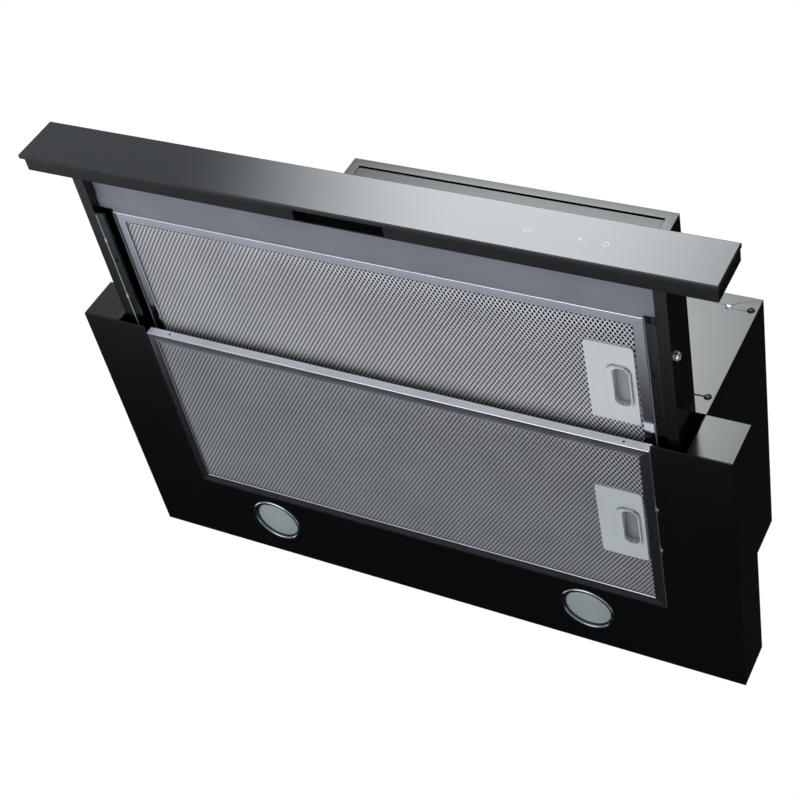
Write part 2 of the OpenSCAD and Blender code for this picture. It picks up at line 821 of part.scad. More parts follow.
module blower_scroll()
    color(dark_plastic)
        translate([0, blower_y, blower_z])
            difference() {
                union() {
                    along_x(span(0, scroll_w / 2)) polygon(scroll_outline(0, scroll_top));
                    slab(span(0, scroll_w / 2 + outlet_flange_w),
                         [tongue_y - outlet_flange_w, scroll_r(spiral_end) + outlet_flange_w],
                         [scroll_top - scroll_wall, scroll_top]);
                }
                along_x(span(0, scroll_w / 2 - scroll_wall))
                    polygon(scroll_outline(scroll_wall, scroll_top + cut));
                rod_x([-scroll_w / 2 - cut, scroll_w / 2 + cut], 0, 0, inlet_d / 2);
            }

// Bell mouth in the scroll's left inlet
module inlet_ring()
    color(white_plastic)
        translate([-scroll_w / 2, blower_y, blower_z])
            rotate([0, 90, 0])
                rotate_extrude($fn = 96)
                    polygon(concat(
                        [[inlet_d / 2 - scroll_wall, bell_depth], [inlet_d / 2 - seat_gap, bell_depth],
                         [inlet_d / 2 - seat_gap, 0], [inlet_d / 2 + bell_w, 0]],
                        [for (a = [0 : 15 : 90])
                            [inlet_d / 2 + bell_w - (bell_w + scroll_wall) * sin(a),
                             -scroll_wall * (0.4 + cos(a))]]
                    ));

module motor_bracket()
    color(zinc)
        translate([scroll_w / 2, blower_y, blower_z]) {
            collar_out_r = motor_d / 2 + bracket_collar_wall;
            difference() {
                union() {
                    rod_x([0, bracket_t], 0, 0, inlet_d / 2 + bracket_ring_w);
                    rod_x([0, bracket_collar_l], 0, 0, collar_out_r);
                }
                difference() {
                    rod_x([-cut, bracket_t + cut], 0, 0, inlet_d / 2);
                    rod_x([-2 * cut, bracket_t + 2 * cut], 0, 0, collar_out_r);
                }
                rod_x([-cut, bracket_collar_l + cut], 0, 0, motor_d / 2 + pin_gap);
            }
            for (turn = [90, 210, 330])
                rotate([turn, 0, 0])
                    slab([0, 2 * bracket_t], [collar_out_r - cut, inlet_d / 2 + bracket_ring_w / 2],
                         span(0, bracket_arm_w / 2));
        }

module motor()
    color(zinc)
        translate([0, blower_y, blower_z])
            difference() {
                union() {
                    rod_x([motor_gap + motor_end_l, motor_end_x - motor_end_l], 0, 0, motor_d / 2);
                    rod_x([motor_gap + motor_end_l / 3, motor_end_x - motor_end_l / 3], 0, 0,
                          motor_d / 2 - motor_end_l);
                    rod_x([motor_gap, motor_end_x], 0, 0, motor_nose_d / 2);
                }
                rod_x([motor_gap - cut, motor_end_x + cut], 0, 0, shaft_d / 2 + pin_gap);
            }

module rotor_shaft()
    color(chrome)
        rod_x([-hub_l - shaft_end_l, motor_end_x + shaft_end_l], blower_y, blower_z, shaft_d / 2);

// One forward-curved blade, an arc between the wheel's two radii
module blade() {
    inner = impeller_r - blade_depth;
    steps = 5;
    line = [for (i = [0 : steps])
        let (s = i / steps, r = inner + (blade_depth - blade_inset) * s, a = blade_lead * (1 - s) * (1 - s))
        [r * cos(a), r * sin(a)]];
    back = [for (i = [steps : -1 : 0]) line[i] + [0, blade_t]];
    polygon(concat(line, back));
}

module impeller()
    color(white_plastic)
        translate([0, blower_y, blower_z])
            difference() {
                union() {
                    for (i = [0 : blade_count - 1])
                        rotate([360 * i / blade_count, 0, 0])
                            along_x(span(0, (impeller_w - end_ring_t) / 2)) blade();
                    for (end = [-1, 1])
                        translate([end * (impeller_w - end_ring_t) / 2, 0, 0])
                            difference() {
                                rod_x(span(0, end_ring_t / 2), 0, 0, impeller_r);
                                rod_x(span(0, end_ring_t / 2 + cut), 0, 0, impeller_r - blade_depth / 2);
                            }
                    rod_x(span(0, disc_t / 2), 0, 0, impeller_r - blade_depth / 2);
                    rod_x([-hub_l, motor_gap / 2], 0, 0, hub_d / 2);
                }
                rod_x([-hub_l - cut, motor_gap], 0, 0, shaft_d / 2 + pin_gap / 2);
            }

// The electrics

module control_box()
    color(white_plastic)
        difference() {
            slab([control_x, control_x + control_w], [control_y, control_y + control_d],
                 [chassis_top_z - sheet_t - control_h, chassis_top_z - sheet_t]);
            slab([control_x + control_wall, control_x + control_w - control_wall],
                 [control_y + control_wall, control_y + control_d - control_wall],
                 [chassis_top_z - sheet_t - control_h - cut, chassis_top_z - sheet_t - control_wall]);
        }

module control_box_lid()
    color(white_plastic) {
        lid_z = chassis_top_z - sheet_t - control_h;
        inner = control_wall + seat_gap;
        core = inner + control_wall;
        slab([control_x, control_x + control_w], [control_y, control_y + control_d],
             [lid_z - control_wall, lid_z]);
        difference() {
            slab([control_x + inner, control_x + control_w - inner],
                 [control_y + inner, control_y + control_d - inner],
                 [lid_z - control_wall / 2, lid_z + lid_rim_h]);
            slab([control_x + core, control_x + control_w - core],
                 [control_y + core, control_y + control_d - core], [lid_z, lid_z + lid_rim_h + cut]);
        }
    }

// A screwed gland through the chassis top: dome, neck and hexagonal nut
module cable_gland()
    color(dark_plastic)
        translate([gland_x, gland_y, chassis_top_z]) {
            tail = sheet_t + gland_thread_l;
            difference() {
                union() {
                    cylinder(r = gland_r + gland_hex_w, h = gland_hex_h, $fn = 6);
                    cylinder(r = gland_r - gland_dome_inset, h = gland_h);
                    translate([0, 0, -tail]) cylinder(r = gland_r, h = tail + gland_hex_h / 2);
                    translate([0, 0, -sheet_t - gland_hex_h])
                        cylinder(r = gland_r + gland_nut_w, h = gland_hex_h, $fn = 6);
                }
                translate([0, 0, -tail - cut]) cylinder(d = gland_bore_d, h = tail + gland_h + 2 * cut);
            }
        }

// The lamps

module lamp_bezel(side)
    color(chrome)
        translate([side * lamp_x, lamp_y, under_z])
            rotate_extrude($fn = 96)
                polygon([
                    [lamp_bore_r, -bezel_t / 2], [lamp_bore_r + bezel_chamfer, -bezel_t],
                    [lamp_r - bezel_chamfer, -bezel_t],
                    [lamp_r, -bezel_t / 3], [lamp_r, 0], [lamp_neck_r, 0],
                    [lamp_neck_r, sheet_t + bezel_neck_h], [lamp_bore_r, sheet_t + bezel_neck_h]
                ]);

// A lens that bulges down to just above the underside
module lamp_lens(side)
    color(lens_green)
        translate([side * lamp_x, lamp_y, under_z + seat_gap]) {
            steps = 6;
            rim_r = lamp_bore_r - seat_gap;
            rotate_extrude($fn = 96)
                polygon(concat(
                    [[0, lens_bulge + lens_t]],
                    [for (i = [0 : steps]) [rim_r * i / steps, lens_bulge * (i / steps) * (i / steps)]],
                    [[rim_r, lens_bulge + lens_t]]
                ));
        }

module lamp_housing(side)
    color(zinc)
        translate([side * lamp_x, lamp_y, panel_top_z]) {
            in_r = lamp_hole_r + 2 * seat_gap;
            out_r = in_r + lamp_wall;
            rotate_extrude($fn = 96)
                polygon([
                    [in_r, 0], [lamp_hole_r + lamp_flange_w, 0], [lamp_hole_r + lamp_flange_w, lamp_wall],
                    [out_r, lamp_wall], [out_r, lamp_h - lamp_flange_w], [out_r - lamp_flange_w, lamp_h],
                    [0, lamp_h], [0, lamp_h - lamp_wall], [in_r - lamp_flange_w, lamp_h - lamp_wall],
                    [in_r, lamp_h - lamp_flange_w - lamp_wall / 2]
                ]);
        }

// The slides and their rails

module runner_rail(side)
    color(black_paint)
        on_side(side) {
            length = [slide_fixed_y, slide_fixed_y + slide_l];
            slab([rail_in_x, rail_out_x], length, [panel_top_z, under_z + runner_rail_h]);
            slab([rail_out_x - sheet_t / 2, arm_in_x], length, [panel_top_z, panel_top_z + sheet_t]);
        }

// The fixed member: a shallow channel that opens towards the arm
module slide_fixed(side)
    color(zinc)
        on_side(side)
            translate([rail_out_x, slide_fixed_y, slide_z])
                rotate([90, 0, 0])
                    mirror([0, 0, 1])
                        linear_extrude(slide_l)
                            difference() {
                                translate([0, -slide_core_h / 2]) square([slide_core_w, slide_core_h]);
                                translate([slide_t, -slide_core_h / 2 + slide_leg_t])
                                    square([slide_core_w, slide_core_h - 2 * slide_leg_t]);
                            }

// The moving member: a deeper channel with lips, open towards the rail, with stamped tabs below
module slide_moving(side)
    color(zinc)
        on_side(side) {
            slide_shell();
            for (y = [slide_y + slide_tab_y, slide_y + slide_tab_y + slide_tab_pitch])
                slab([arm_in_x - slide_tab_w, arm_in_x], [y, y + slide_tab_l],
                     [slide_z - slide_h / 2 - slide_tab_h, slide_z - slide_h / 2 + slide_leg_t / 2]);
        }

// The moving member's channel with its screw hole and pilot hole
module slide_shell()
    difference() {
        translate([arm_in_x, slide_y, slide_z])
            rotate([90, 0, 0])
                mirror([0, 0, 1])
                    linear_extrude(slide_l)
                        difference() {
                            translate([-slide_shell_w, -slide_h / 2])
                                square([slide_shell_w, slide_h]);
                            translate([-slide_shell_w + slide_t, -slide_h / 2 + slide_leg_t])
                                square([slide_shell_w - 2 * slide_t, slide_h - 2 * slide_leg_t]);
                            translate([-slide_shell_w - cut, -slide_mouth / 2])
                                square([slide_t + 2 * cut, slide_mouth]);
                        }
        rod_x([arm_in_x - slide_w, arm_in_x + cut], bar_back_y + arm_screw_from_bar, slide_z,
              arm_screw_d / 2 + pin_gap);
        translate([arm_in_x - slide_shell_w / 2, slide_y + slide_hole_y, slide_z - slide_h / 2 - cut])
            cylinder(d = slide_hole_d, h = slide_h + 2 * cut, $fn = 24);
    }

// The cage: a thin channel between the two members, with a row of balls above and below
module ball_cage(side)
    color(chrome)
        on_side(side) {
            leg_z = (slide_core_h / 2 + slide_h / 2 - slide_leg_t) / 2;
            web_x = arm_in_x - slide_t - slide_web_gap / 2;
            ball_x = (lip_in_x + rail_out_x + slide_core_w) / 2;
            slab(span(web_x, cage_t / 2), [cage_y, cage_y + cage_l], span(slide_z, leg_z + cage_t / 2));
            for (end = [-1, 1]) {
                slab([lip_in_x + running_gap, web_x], [cage_y, cage_y + cage_l],
                     span(slide_z + end * leg_z, cage_t / 2));
                for (y = [cage_y + ball_pitch / 2 : ball_pitch : cage_y + cage_l - ball_pitch / 3])
                    translate([ball_x, y, slide_z + end * leg_z]) sphere(d = ball_d, $fn = 24);
            }
        }

// The front bar

module glass_fascia()
    color(fascia_grey) {
        low = under_z - glass_drop;
        high = low + glass_h;
        back = bar_front_y;
        front = back - glass_t;
        c = glass_chamfer;
        intersection() {
            along_x([-glass_w / 2, glass_w / 2])
                polygon([
                    [back, low], [back, high], [front + c, high], [front, high - c],
                    [front, low + c], [front + c, low]
                ]);
            translate([0, 0, low - cut])
                linear_extrude(glass_h + 2 * cut)
                    polygon([
                        [-glass_w / 2, back], [-glass_w / 2, front + c], [-glass_w / 2 + c, front],
                        [glass_w / 2 - c, front], [glass_w / 2, front + c], [glass_w / 2, back]
                    ]);
        }
    }

// A channel closed by the glass, with a pocket for the fingers in its underside
module bar_body()
    color(dark_plastic) {
        half_w = glass_w / 2 - bar_inset;
        low = under_z + bar_rise;
        high = low + bar_h;
        difference() {
            slab([-half_w, half_w], [bar_front_y, bar_back_y], [low, high]);
            difference() {
                slab([-half_w + bar_wall, half_w - bar_wall], [bar_front_y - cut, bar_back_y - bar_wall],
                     [low + bar_wall, high - bar_wall]);
                slab([-recess_w / 2 - bar_wall, recess_w / 2 + bar_wall], [bar_front_y - 2 * cut, bar_back_y],
                     [low, low + recess_h + bar_wall]);
            }
            slab([-recess_w / 2, recess_w / 2], [bar_front_y + bar_wall, bar_back_y - bar_wall],
                 [low - cut, low + recess_h]);
        }
    }

module touch_board()
    color(board_green) {
        last_x = glass_w / 2 - key_from_end;
        first_x = last_x - (key_count - 1) * key_pitch;
        key_z = under_z + key_rise;
        slab([first_x - board_end_l, last_x + board_end_l], [bar_front_y, bar_front_y + board_t],
             span(key_z, board_h / 2));
        for (i = [0 : key_count - 1])
            translate([first_x + i * key_pitch, bar_front_y + board_t / 2, key_z])
                rotate([-90, 0, 0]) cylinder(d = key_d, h = board_t / 2 + key_h);
    }

// The tray

module arm(side)
    color(black_paint)
        on_side(side)
            difference() {
                slab([arm_in_x, arm_out_x], [bar_back_y, arm_end_y], [arm_z, arm_top_z]);
                slab([arm_in_x + arm_wall, arm_out_x - arm_wall], [bar_back_y - cut, arm_end_y + cut],
                     [arm_z + arm_wall, arm_top_z - arm_wall]);
                rod_x([arm_in_x - cut, arm_out_x + cut], bar_back_y + arm_screw_from_bar, slide_z,
                      arm_screw_d / 2 + pin_gap);
            }

// Pan-head screws through the arms into the slides
module arm_screws()
    color(chrome)
        both_sides()
            translate([0, bar_back_y + arm_screw_from_bar, slide_z])
                difference() {
                    union() {
                        rod_x([arm_in_x - slide_t, arm_out_x + cut], 0, 0, arm_screw_d / 2);
                        rod_x([arm_out_x, arm_out_x + arm_screw_head_h * 0.6], 0, 0, arm_screw_head_d / 2);
                        rod_x([arm_out_x, arm_out_x + arm_screw_head_h], 0, 0, arm_screw_head_d / 2 - 1);
                    }
                    for (turn = [0, 90])
                        rotate([turn, 0, 0])
                            slab([arm_out_x + arm_screw_head_h / 2, arm_out_x + arm_screw_head_h + cut],
                                 span(0, cross_w / 2), span(0, cross_l / 2));
                }

module tray_cover()
    color(black_paint)
        slab([-arm_out_x, arm_out_x], [bar_back_y, tray_back_y], [arm_top_z, arm_top_z + sheet_t]);

// The pan closes the tray's underside between the bar and the filter
module tray_pan()
    color(sheet_grey) {
        t = tray_sheet_t;
        fold = bar_back_y + pan_fold;
        wide_end = slide_y - running_gap;
        end = upper_filter_y - seat_gap;
        low = pan_z - pan_drop;
        difference() {
            along_x([-arm_in_x, arm_in_x])
                polygon([
                    [bar_back_y, pan_z], [fold, pan_z], [fold + pan_fold_l, low], [wide_end, low],
                    [wide_end, low + t], [fold + pan_fold_l, low + t], [fold, pan_z + t],
                    [bar_back_y, pan_z + t]
                ]);
            translate([arm_in_x - pan_notch_x, bar_back_y, pan_z - cut])
                linear_extrude(t + 2 * cut)
                    polygon([[-pan_notch / 3, -cut], [pan_notch / 3, -cut], [0, pan_notch]]);
        }
        along_x([-side_rail_in_x, side_rail_in_x])
            polygon([
                [wide_end - cut, low], [end, low], [end, tray_flange_z], [end - t, tray_flange_z],
                [end - t, low + t], [wide_end - cut, low + t]
            ]);
    }

// Slots beside the upper filter for its tabs on the left and its latch bolts on the right
module side_rail_slots(side) {
    middle = upper_filter_y + upper_filter_d / 2;
    for (end = [-1, 1])
        if (side > 0)
            slab([filter_w / 2, rail_in_x], span(middle + end * bolt_y, bolt_w / 2 + running_gap),
                 span(upper_filter_z + bolt_z + bolt_t / 2, bolt_t / 2 + running_gap));
        else
            slab([filter_w / 2, rail_in_x], span(middle + end * tab_y, tab_w / 2 + running_gap),
                 span(upper_filter_z + tab_z + tab_t / 2, tab_t / 2 + running_gap));
}

module tray_side_rail(side)
    color(sheet_grey)
        on_side(side)
            difference() {
                union() {
                    slab([side_rail_in_x, side_rail_in_x + tray_sheet_t], [upper_filter_y, tray_back_y],
                         [upper_filter_z + seat_gap, tray_flange_z + running_gap + tray_sheet_t]);
                    slab([side_rail_in_x, arm_in_x], [upper_filter_y, tray_back_y],
                         [tray_flange_z + running_gap, tray_flange_z + running_gap + tray_sheet_t]);
                }
                side_rail_slots(side);
            }

module tray_rear_rail()
    color(sheet_grey)
        along_x([-side_rail_in_x, side_rail_in_x]) {
            t = tray_sheet_t;
            low = upper_filter_z - seat_gap - t;
            polygon([
                [upper_filter_back_y - shelf_d, low], [tray_back_y, low], [tray_back_y, tray_flange_z],
                [tray_back_y - t, tray_flange_z], [tray_back_y - t, low + t],
                [upper_filter_back_y - shelf_d, low + t]
            ]);
        }

// The grease filters, drawn with their front left bottom corner line at y = 0, z = 0

module filter_frame(depth, handle_y)
    color(aluminium) {
        half = filter_w / 2;
        difference() {
            slab(span(0, half), [0, depth], [0, filter_t]);
            slab(span(0, half - filter_border), [filter_border, depth - filter_border],
                 [-cut, filter_t + cut]);
            slab(span(0, half - frame_t), [frame_t, depth - frame_t], [frame_t, filter_t - frame_t]);
            for (end = [-1, 1])
                slab([half - frame_t - cut, half + cut],
                     span(handle_y + end * bolt_y, bolt_w / 2 + running_gap),
                     span(bolt_z + bolt_t / 2, bolt_t / 2 + running_gap));
        }
        for (end = [-1, 1])
            slab([-half - tab_reach, -half + frame_t / 2], span(depth / 2 + end * tab_y, tab_w / 2),
                 [tab_z, tab_z + tab_t]);
    }

// The two outer layers of mesh, pillowed where they show through the frame
module filter_mesh(depth, handle_y)
    color(mesh_grey) {
        half = filter_w / 2 - frame_t - seat_gap;
        edge = filter_border + seat_gap;
        inner = edge + pillow + mesh_t;
        low = frame_t + seat_gap;
        difference() {
            union() {
                slab(span(0, half), [frame_t + seat_gap, depth - frame_t - seat_gap], [low, filter_t - low]);
                hull() {
                    slab(span(0, filter_w / 2 - edge), [edge, depth - edge], [low, filter_t - low]);
                    slab(span(0, filter_w / 2 - edge - pillow), [edge + pillow, depth - edge - pillow],
                         [low - pillow_h, filter_t - low + pillow_h]);
                }
            }
            slab(span(0, half - mesh_t), [frame_t + seat_gap + mesh_t, depth - frame_t - seat_gap - mesh_t],
                 [low + mesh_t, filter_t - low - mesh_t]);
            slab(span(0, filter_w / 2 - inner), [inner, depth - inner],
                 [low - pillow_h + mesh_t, filter_t - low + pillow_h - mesh_t]);
            slab([housing_left - seat_gap, filter_w / 2], span(handle_y, housing_y + seat_gap),
                 [-cut, filter_t + cut]);
            slab([handle_left - seat_gap, filter_w / 2 - filter_border],
                 span(handle_y, handle_l / 2 + seat_gap),
                 [-cut, handle_t - handle_proud + seat_gap]);
        }
    }

// The plate with its window, and the housing that guides the latch
module filter_handle(handle_y)
    color(light_plastic)
        translate([0, handle_y, 0]) {
            plate_top = handle_t - handle_proud;
            difference() {
                union() {
                    translate([handle_left, -handle_l / 2, -handle_proud])
                        linear_extrude(handle_t)
                            rounded_rect(handle_w, handle_l, handle_corner);
                    slab([housing_left, housing_right], span(0, housing_y), [plate_top / 2, housing_top]);
                }
                translate([0, 0, -handle_proud - cut])
                    linear_extrude(handle_t + 2 * cut)
                        latch_outline(latch_travel + latch_wall + running_gap, latch_wall + running_gap,
                                      cup_corner + running_gap);
                slab([housing_left + latch_wall, housing_right - latch_wall], span(0, housing_y - latch_wall),
                     [plate_top, housing_top - latch_wall]);
                for (end = [-1, 1])
                    slab([housing_right - latch_wall - cut, housing_right + cut],
                         span(end * bolt_y, bolt_w / 2 + running_gap),
                         span(bolt_z + bolt_t / 2, bolt_t / 2 + running_gap));
            }
        }

// A rectangle from the origin with round corners
module rounded_rect(w, l, r)
    union() {
        translate([r, 0]) square([w - 2 * r, l]);
        translate([0, r]) square([w, l - 2 * r]);
        for (x = [r, w - r], y = [r, l - r])
            translate([x, y]) circle(r = r);
    }

// Outline round the finger cup, wider by one margin on its left and by another on its other sides
module latch_outline(left, margin, r)
    translate([cup_left - left, -cup_l / 2 - margin])
        rounded_rect(cup_w + left + margin, cup_l + 2 * margin, r);

// The hollow of the finger cup, between its mouth and a floor that curves down to its left side
module finger_cup(mouth, floor_z) {
    steps = 8;
    intersection() {
        translate([0, 0, mouth]) linear_extrude(floor_z - mouth) latch_outline(0, 0, cup_corner - latch_wall);
        rotate([90, 0, 0])
            linear_extrude(cup_l + 2 * cut, center = true)
                polygon(concat(
                    [[cup_right + cut, mouth - cut], [cup_left - cut, mouth - cut]],
                    [for (i = [0 : steps])
                        [cup_left - cut + (cup_w + 2 * cut) * i / steps,
                         floor_z - cup_scoop * (1 - sin(90 * i / steps))]]
                ));
    }
}

// The latch: a finger cup with a lip and a grip ridge, and two bolts that reach past the filter's edge
module filter_latch(handle_y)
    color(light_plastic)
        translate([0, handle_y, 0]) {
            top = housing_top - latch_wall - 3 * running_gap;
            lip_top = -handle_proud - running_gap;
            lip_low = lip_top - lip_h;
            root_x = (cup_left + cup_right) / 2;
            difference() {
                union() {
                    translate([0, 0, lip_low])
                        linear_extrude(top - lip_low) latch_outline(latch_wall, latch_wall, cup_corner);
                    translate([0, 0, lip_low])
                        linear_extrude(lip_h) latch_outline(lip_w, latch_wall, cup_corner);
                    slab([cup_left - grip_w, cup_left], span(0, (cup_l - cup_corner) / 2),
                         [lip_low - grip_h, lip_top]);
                }
                finger_cup(lip_low - grip_h - cut, top - latch_wall);
            }
            for (end = [-1, 1]) {
                slab(span(root_x, bolt_w / 2), span(end * (cup_l / 2 + bolt_y) / 2, (bolt_y - cup_l / 2) / 2),
                     [bolt_z, bolt_z + bolt_t]);
                slab([root_x - bolt_w / 2, filter_w / 2 + tab_reach], span(end * bolt_y, bolt_w / 2),
                     [bolt_z, bolt_z + bolt_t]);
            }
        }

// One filter's piece at its place: "upper" in the tray or "lower" in the case
module upper_place() translate([0, upper_filter_y, upper_filter_z]) children();
module lower_place() translate([0, lower_filter_y, under_z]) children();

underside_panel();
wing(-1);  // wing_left
wing(1);  // wing_right
chassis_shell();
chassis_front();
chassis_rear();
panel_screws(false);  // panel_screws_black
panel_screws(true);  // panel_screws_silver
top_box_shell();
top_box_front();
duct_collar();
damper_pin();
damper_flap(-1);  // damper_flap_left
damper_flap(1);  // damper_flap_right
blower_scroll();
inlet_ring();
motor_bracket();
motor();
rotor_shaft();
impeller();
control_box();
control_box_lid();
cable_gland();
lamp_bezel(-1);  // lamp_bezel_left
lamp_bezel(1);  // lamp_bezel_right
lamp_lens(-1);  // lamp_lens_left
lamp_lens(1);  // lamp_lens_right
lamp_housing(-1);  // lamp_housing_left
lamp_housing(1);  // lamp_housing_right
runner_rail(-1);  // runner_rail_left
runner_rail(1);  // runner_rail_right
slide_fixed(-1);  // slide_fixed_left
slide_fixed(1);  // slide_fixed_right
ball_cage(-1);  // ball_cage_left
ball_cage(1);  // ball_cage_right
slide_moving(-1);  // slide_moving_left
slide_moving(1);  // slide_moving_right
glass_fascia();
bar_body();
touch_board();
arm(-1);  // arm_left
arm(1);  // arm_right
arm_screws();
tray_cover();
tray_pan();
tray_side_rail(-1);  // tray_side_rail_left
tray_side_rail(1);  // tray_side_rail_right
tray_rear_rail();
upper_place() filter_frame(upper_filter_d, upper_handle_y);  // upper_filter_frame
upper_place() filter_mesh(upper_filter_d, upper_handle_y);  // upper_filter_mesh
upper_place() filter_handle(upper_handle_y);  // upper_filter_handle
upper_place() filter_latch(upper_handle_y);  // upper_filter_latch
lower_place() filter_frame(lower_filter_d, lower_handle_y);  // lower_filter_frame
lower_place() filter_mesh(lower_filter_d, lower_handle_y);  // lower_filter_mesh
lower_place() filter_handle(lower_handle_y);  // lower_filter_handle
lower_place() filter_latch(lower_handle_y);  // lower_filter_latch
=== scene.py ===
"""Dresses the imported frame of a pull-out range hood and lights it in a plain studio.

Every length is in millimetres until it goes into a mesh, a node or a lamp. The frame's origin is the middle
of the four cabinet screw holes, with +Z up and the room on the -Y side.
"""
from __future__ import annotations

import json
import logging
import math
import sys
from dataclasses import dataclass, field
from enum import Enum
from typing import Any, Iterable, Sequence

import bmesh
import bpy
from mathutils import Matrix, Quaternion, Vector

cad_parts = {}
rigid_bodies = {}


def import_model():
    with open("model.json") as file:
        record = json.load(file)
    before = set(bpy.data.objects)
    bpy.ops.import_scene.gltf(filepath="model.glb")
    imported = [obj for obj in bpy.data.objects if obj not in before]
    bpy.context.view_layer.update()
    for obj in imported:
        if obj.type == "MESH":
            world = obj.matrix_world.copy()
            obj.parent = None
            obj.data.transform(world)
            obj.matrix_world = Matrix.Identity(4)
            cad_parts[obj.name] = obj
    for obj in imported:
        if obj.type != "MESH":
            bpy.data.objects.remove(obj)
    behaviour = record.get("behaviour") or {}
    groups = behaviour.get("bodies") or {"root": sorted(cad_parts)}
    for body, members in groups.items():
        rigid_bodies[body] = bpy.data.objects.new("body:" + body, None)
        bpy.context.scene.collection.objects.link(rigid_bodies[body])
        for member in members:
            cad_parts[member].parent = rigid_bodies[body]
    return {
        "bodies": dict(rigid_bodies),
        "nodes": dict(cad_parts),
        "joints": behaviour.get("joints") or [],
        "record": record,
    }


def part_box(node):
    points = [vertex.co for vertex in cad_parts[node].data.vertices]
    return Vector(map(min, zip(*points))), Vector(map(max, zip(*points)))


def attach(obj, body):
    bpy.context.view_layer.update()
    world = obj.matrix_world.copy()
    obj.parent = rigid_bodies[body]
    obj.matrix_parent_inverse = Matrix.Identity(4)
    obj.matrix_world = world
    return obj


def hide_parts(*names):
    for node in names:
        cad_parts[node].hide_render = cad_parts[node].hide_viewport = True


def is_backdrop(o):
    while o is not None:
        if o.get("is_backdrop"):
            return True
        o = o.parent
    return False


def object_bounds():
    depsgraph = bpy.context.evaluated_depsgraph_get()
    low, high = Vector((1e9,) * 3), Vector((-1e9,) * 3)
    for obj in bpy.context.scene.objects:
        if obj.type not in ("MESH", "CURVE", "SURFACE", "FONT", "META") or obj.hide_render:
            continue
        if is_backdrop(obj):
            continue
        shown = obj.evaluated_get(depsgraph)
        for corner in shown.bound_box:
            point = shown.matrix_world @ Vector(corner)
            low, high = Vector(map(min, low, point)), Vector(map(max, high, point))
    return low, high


log = logging.getLogger("range_hood")

MM = 0.001

# A node's loose corners closer than this, in metres, are one corner.
WELD = 1e-6
# Faces that turn less than this, in degrees, are one flat face.
FLAT_DEG = 0.08
# The faces round a softened edge.
EDGE_STEPS = 2


class Grain(Enum):
    """How a surface was made, which sets the pattern of its bump and gloss."""

    POWDER = "powder coat, a soft orange peel"
    ROLLED = "rolled sheet, faint streaks one way"
    MOULDED = "spark-eroded mould, a fine even grain"
    SPANGLE = "hot-dip zinc, flat crystals of several tones"
    SMOOTH = "polished or float glass"


class Axis(Enum):
    """The way that a rolled grain runs, as the stretch of its pattern."""

    X = (0.06, 1.0, 1.0)
    Y = (1.0, 0.06, 1.0)
    NONE = (1.0, 1.0, 1.0)


def linear(hex_colour: str) -> tuple[float, float, float, float]:
    """Turns an sRGB hex colour to the linear values that a shader takes.

    Args:
        hex_colour: six hex digits after a hash.

    Returns:
        Red, green, blue and an alpha of 1.
    """
    parts = [int(hex_colour[i:i + 2], 16) / 255 for i in (1, 3, 5)]
    values = [p / 12.92 if p <= 0.04045 else ((p + 0.055) / 1.055) ** 2.4 for p in parts]
    return values[0], values[1], values[2], 1.0


def add(tree: bpy.types.NodeTree, kind: str, settings: dict[str, Any] | None = None,
        links: dict[Any, Any] | None = None) -> bpy.types.Node:
    """Adds one node with its settings and what goes into it.

    Args:
        tree: the shader or geometry tree.
        kind: the node's type name.
        settings: properties that are set before its sockets are used.
        links: an output socket or a plain value for each input, by name or number.

    Returns:
        The new node.
    """
    node = tree.nodes.new(kind)
    for name, value in (settings or {}).items():
        setattr(node, name, value)
    for key, value in (links or {}).items():
        if isinstance(value, bpy.types.NodeSocket):
            tree.links.new(value, node.inputs[key])
        else:
            node.inputs[key].default_value = value
    return node


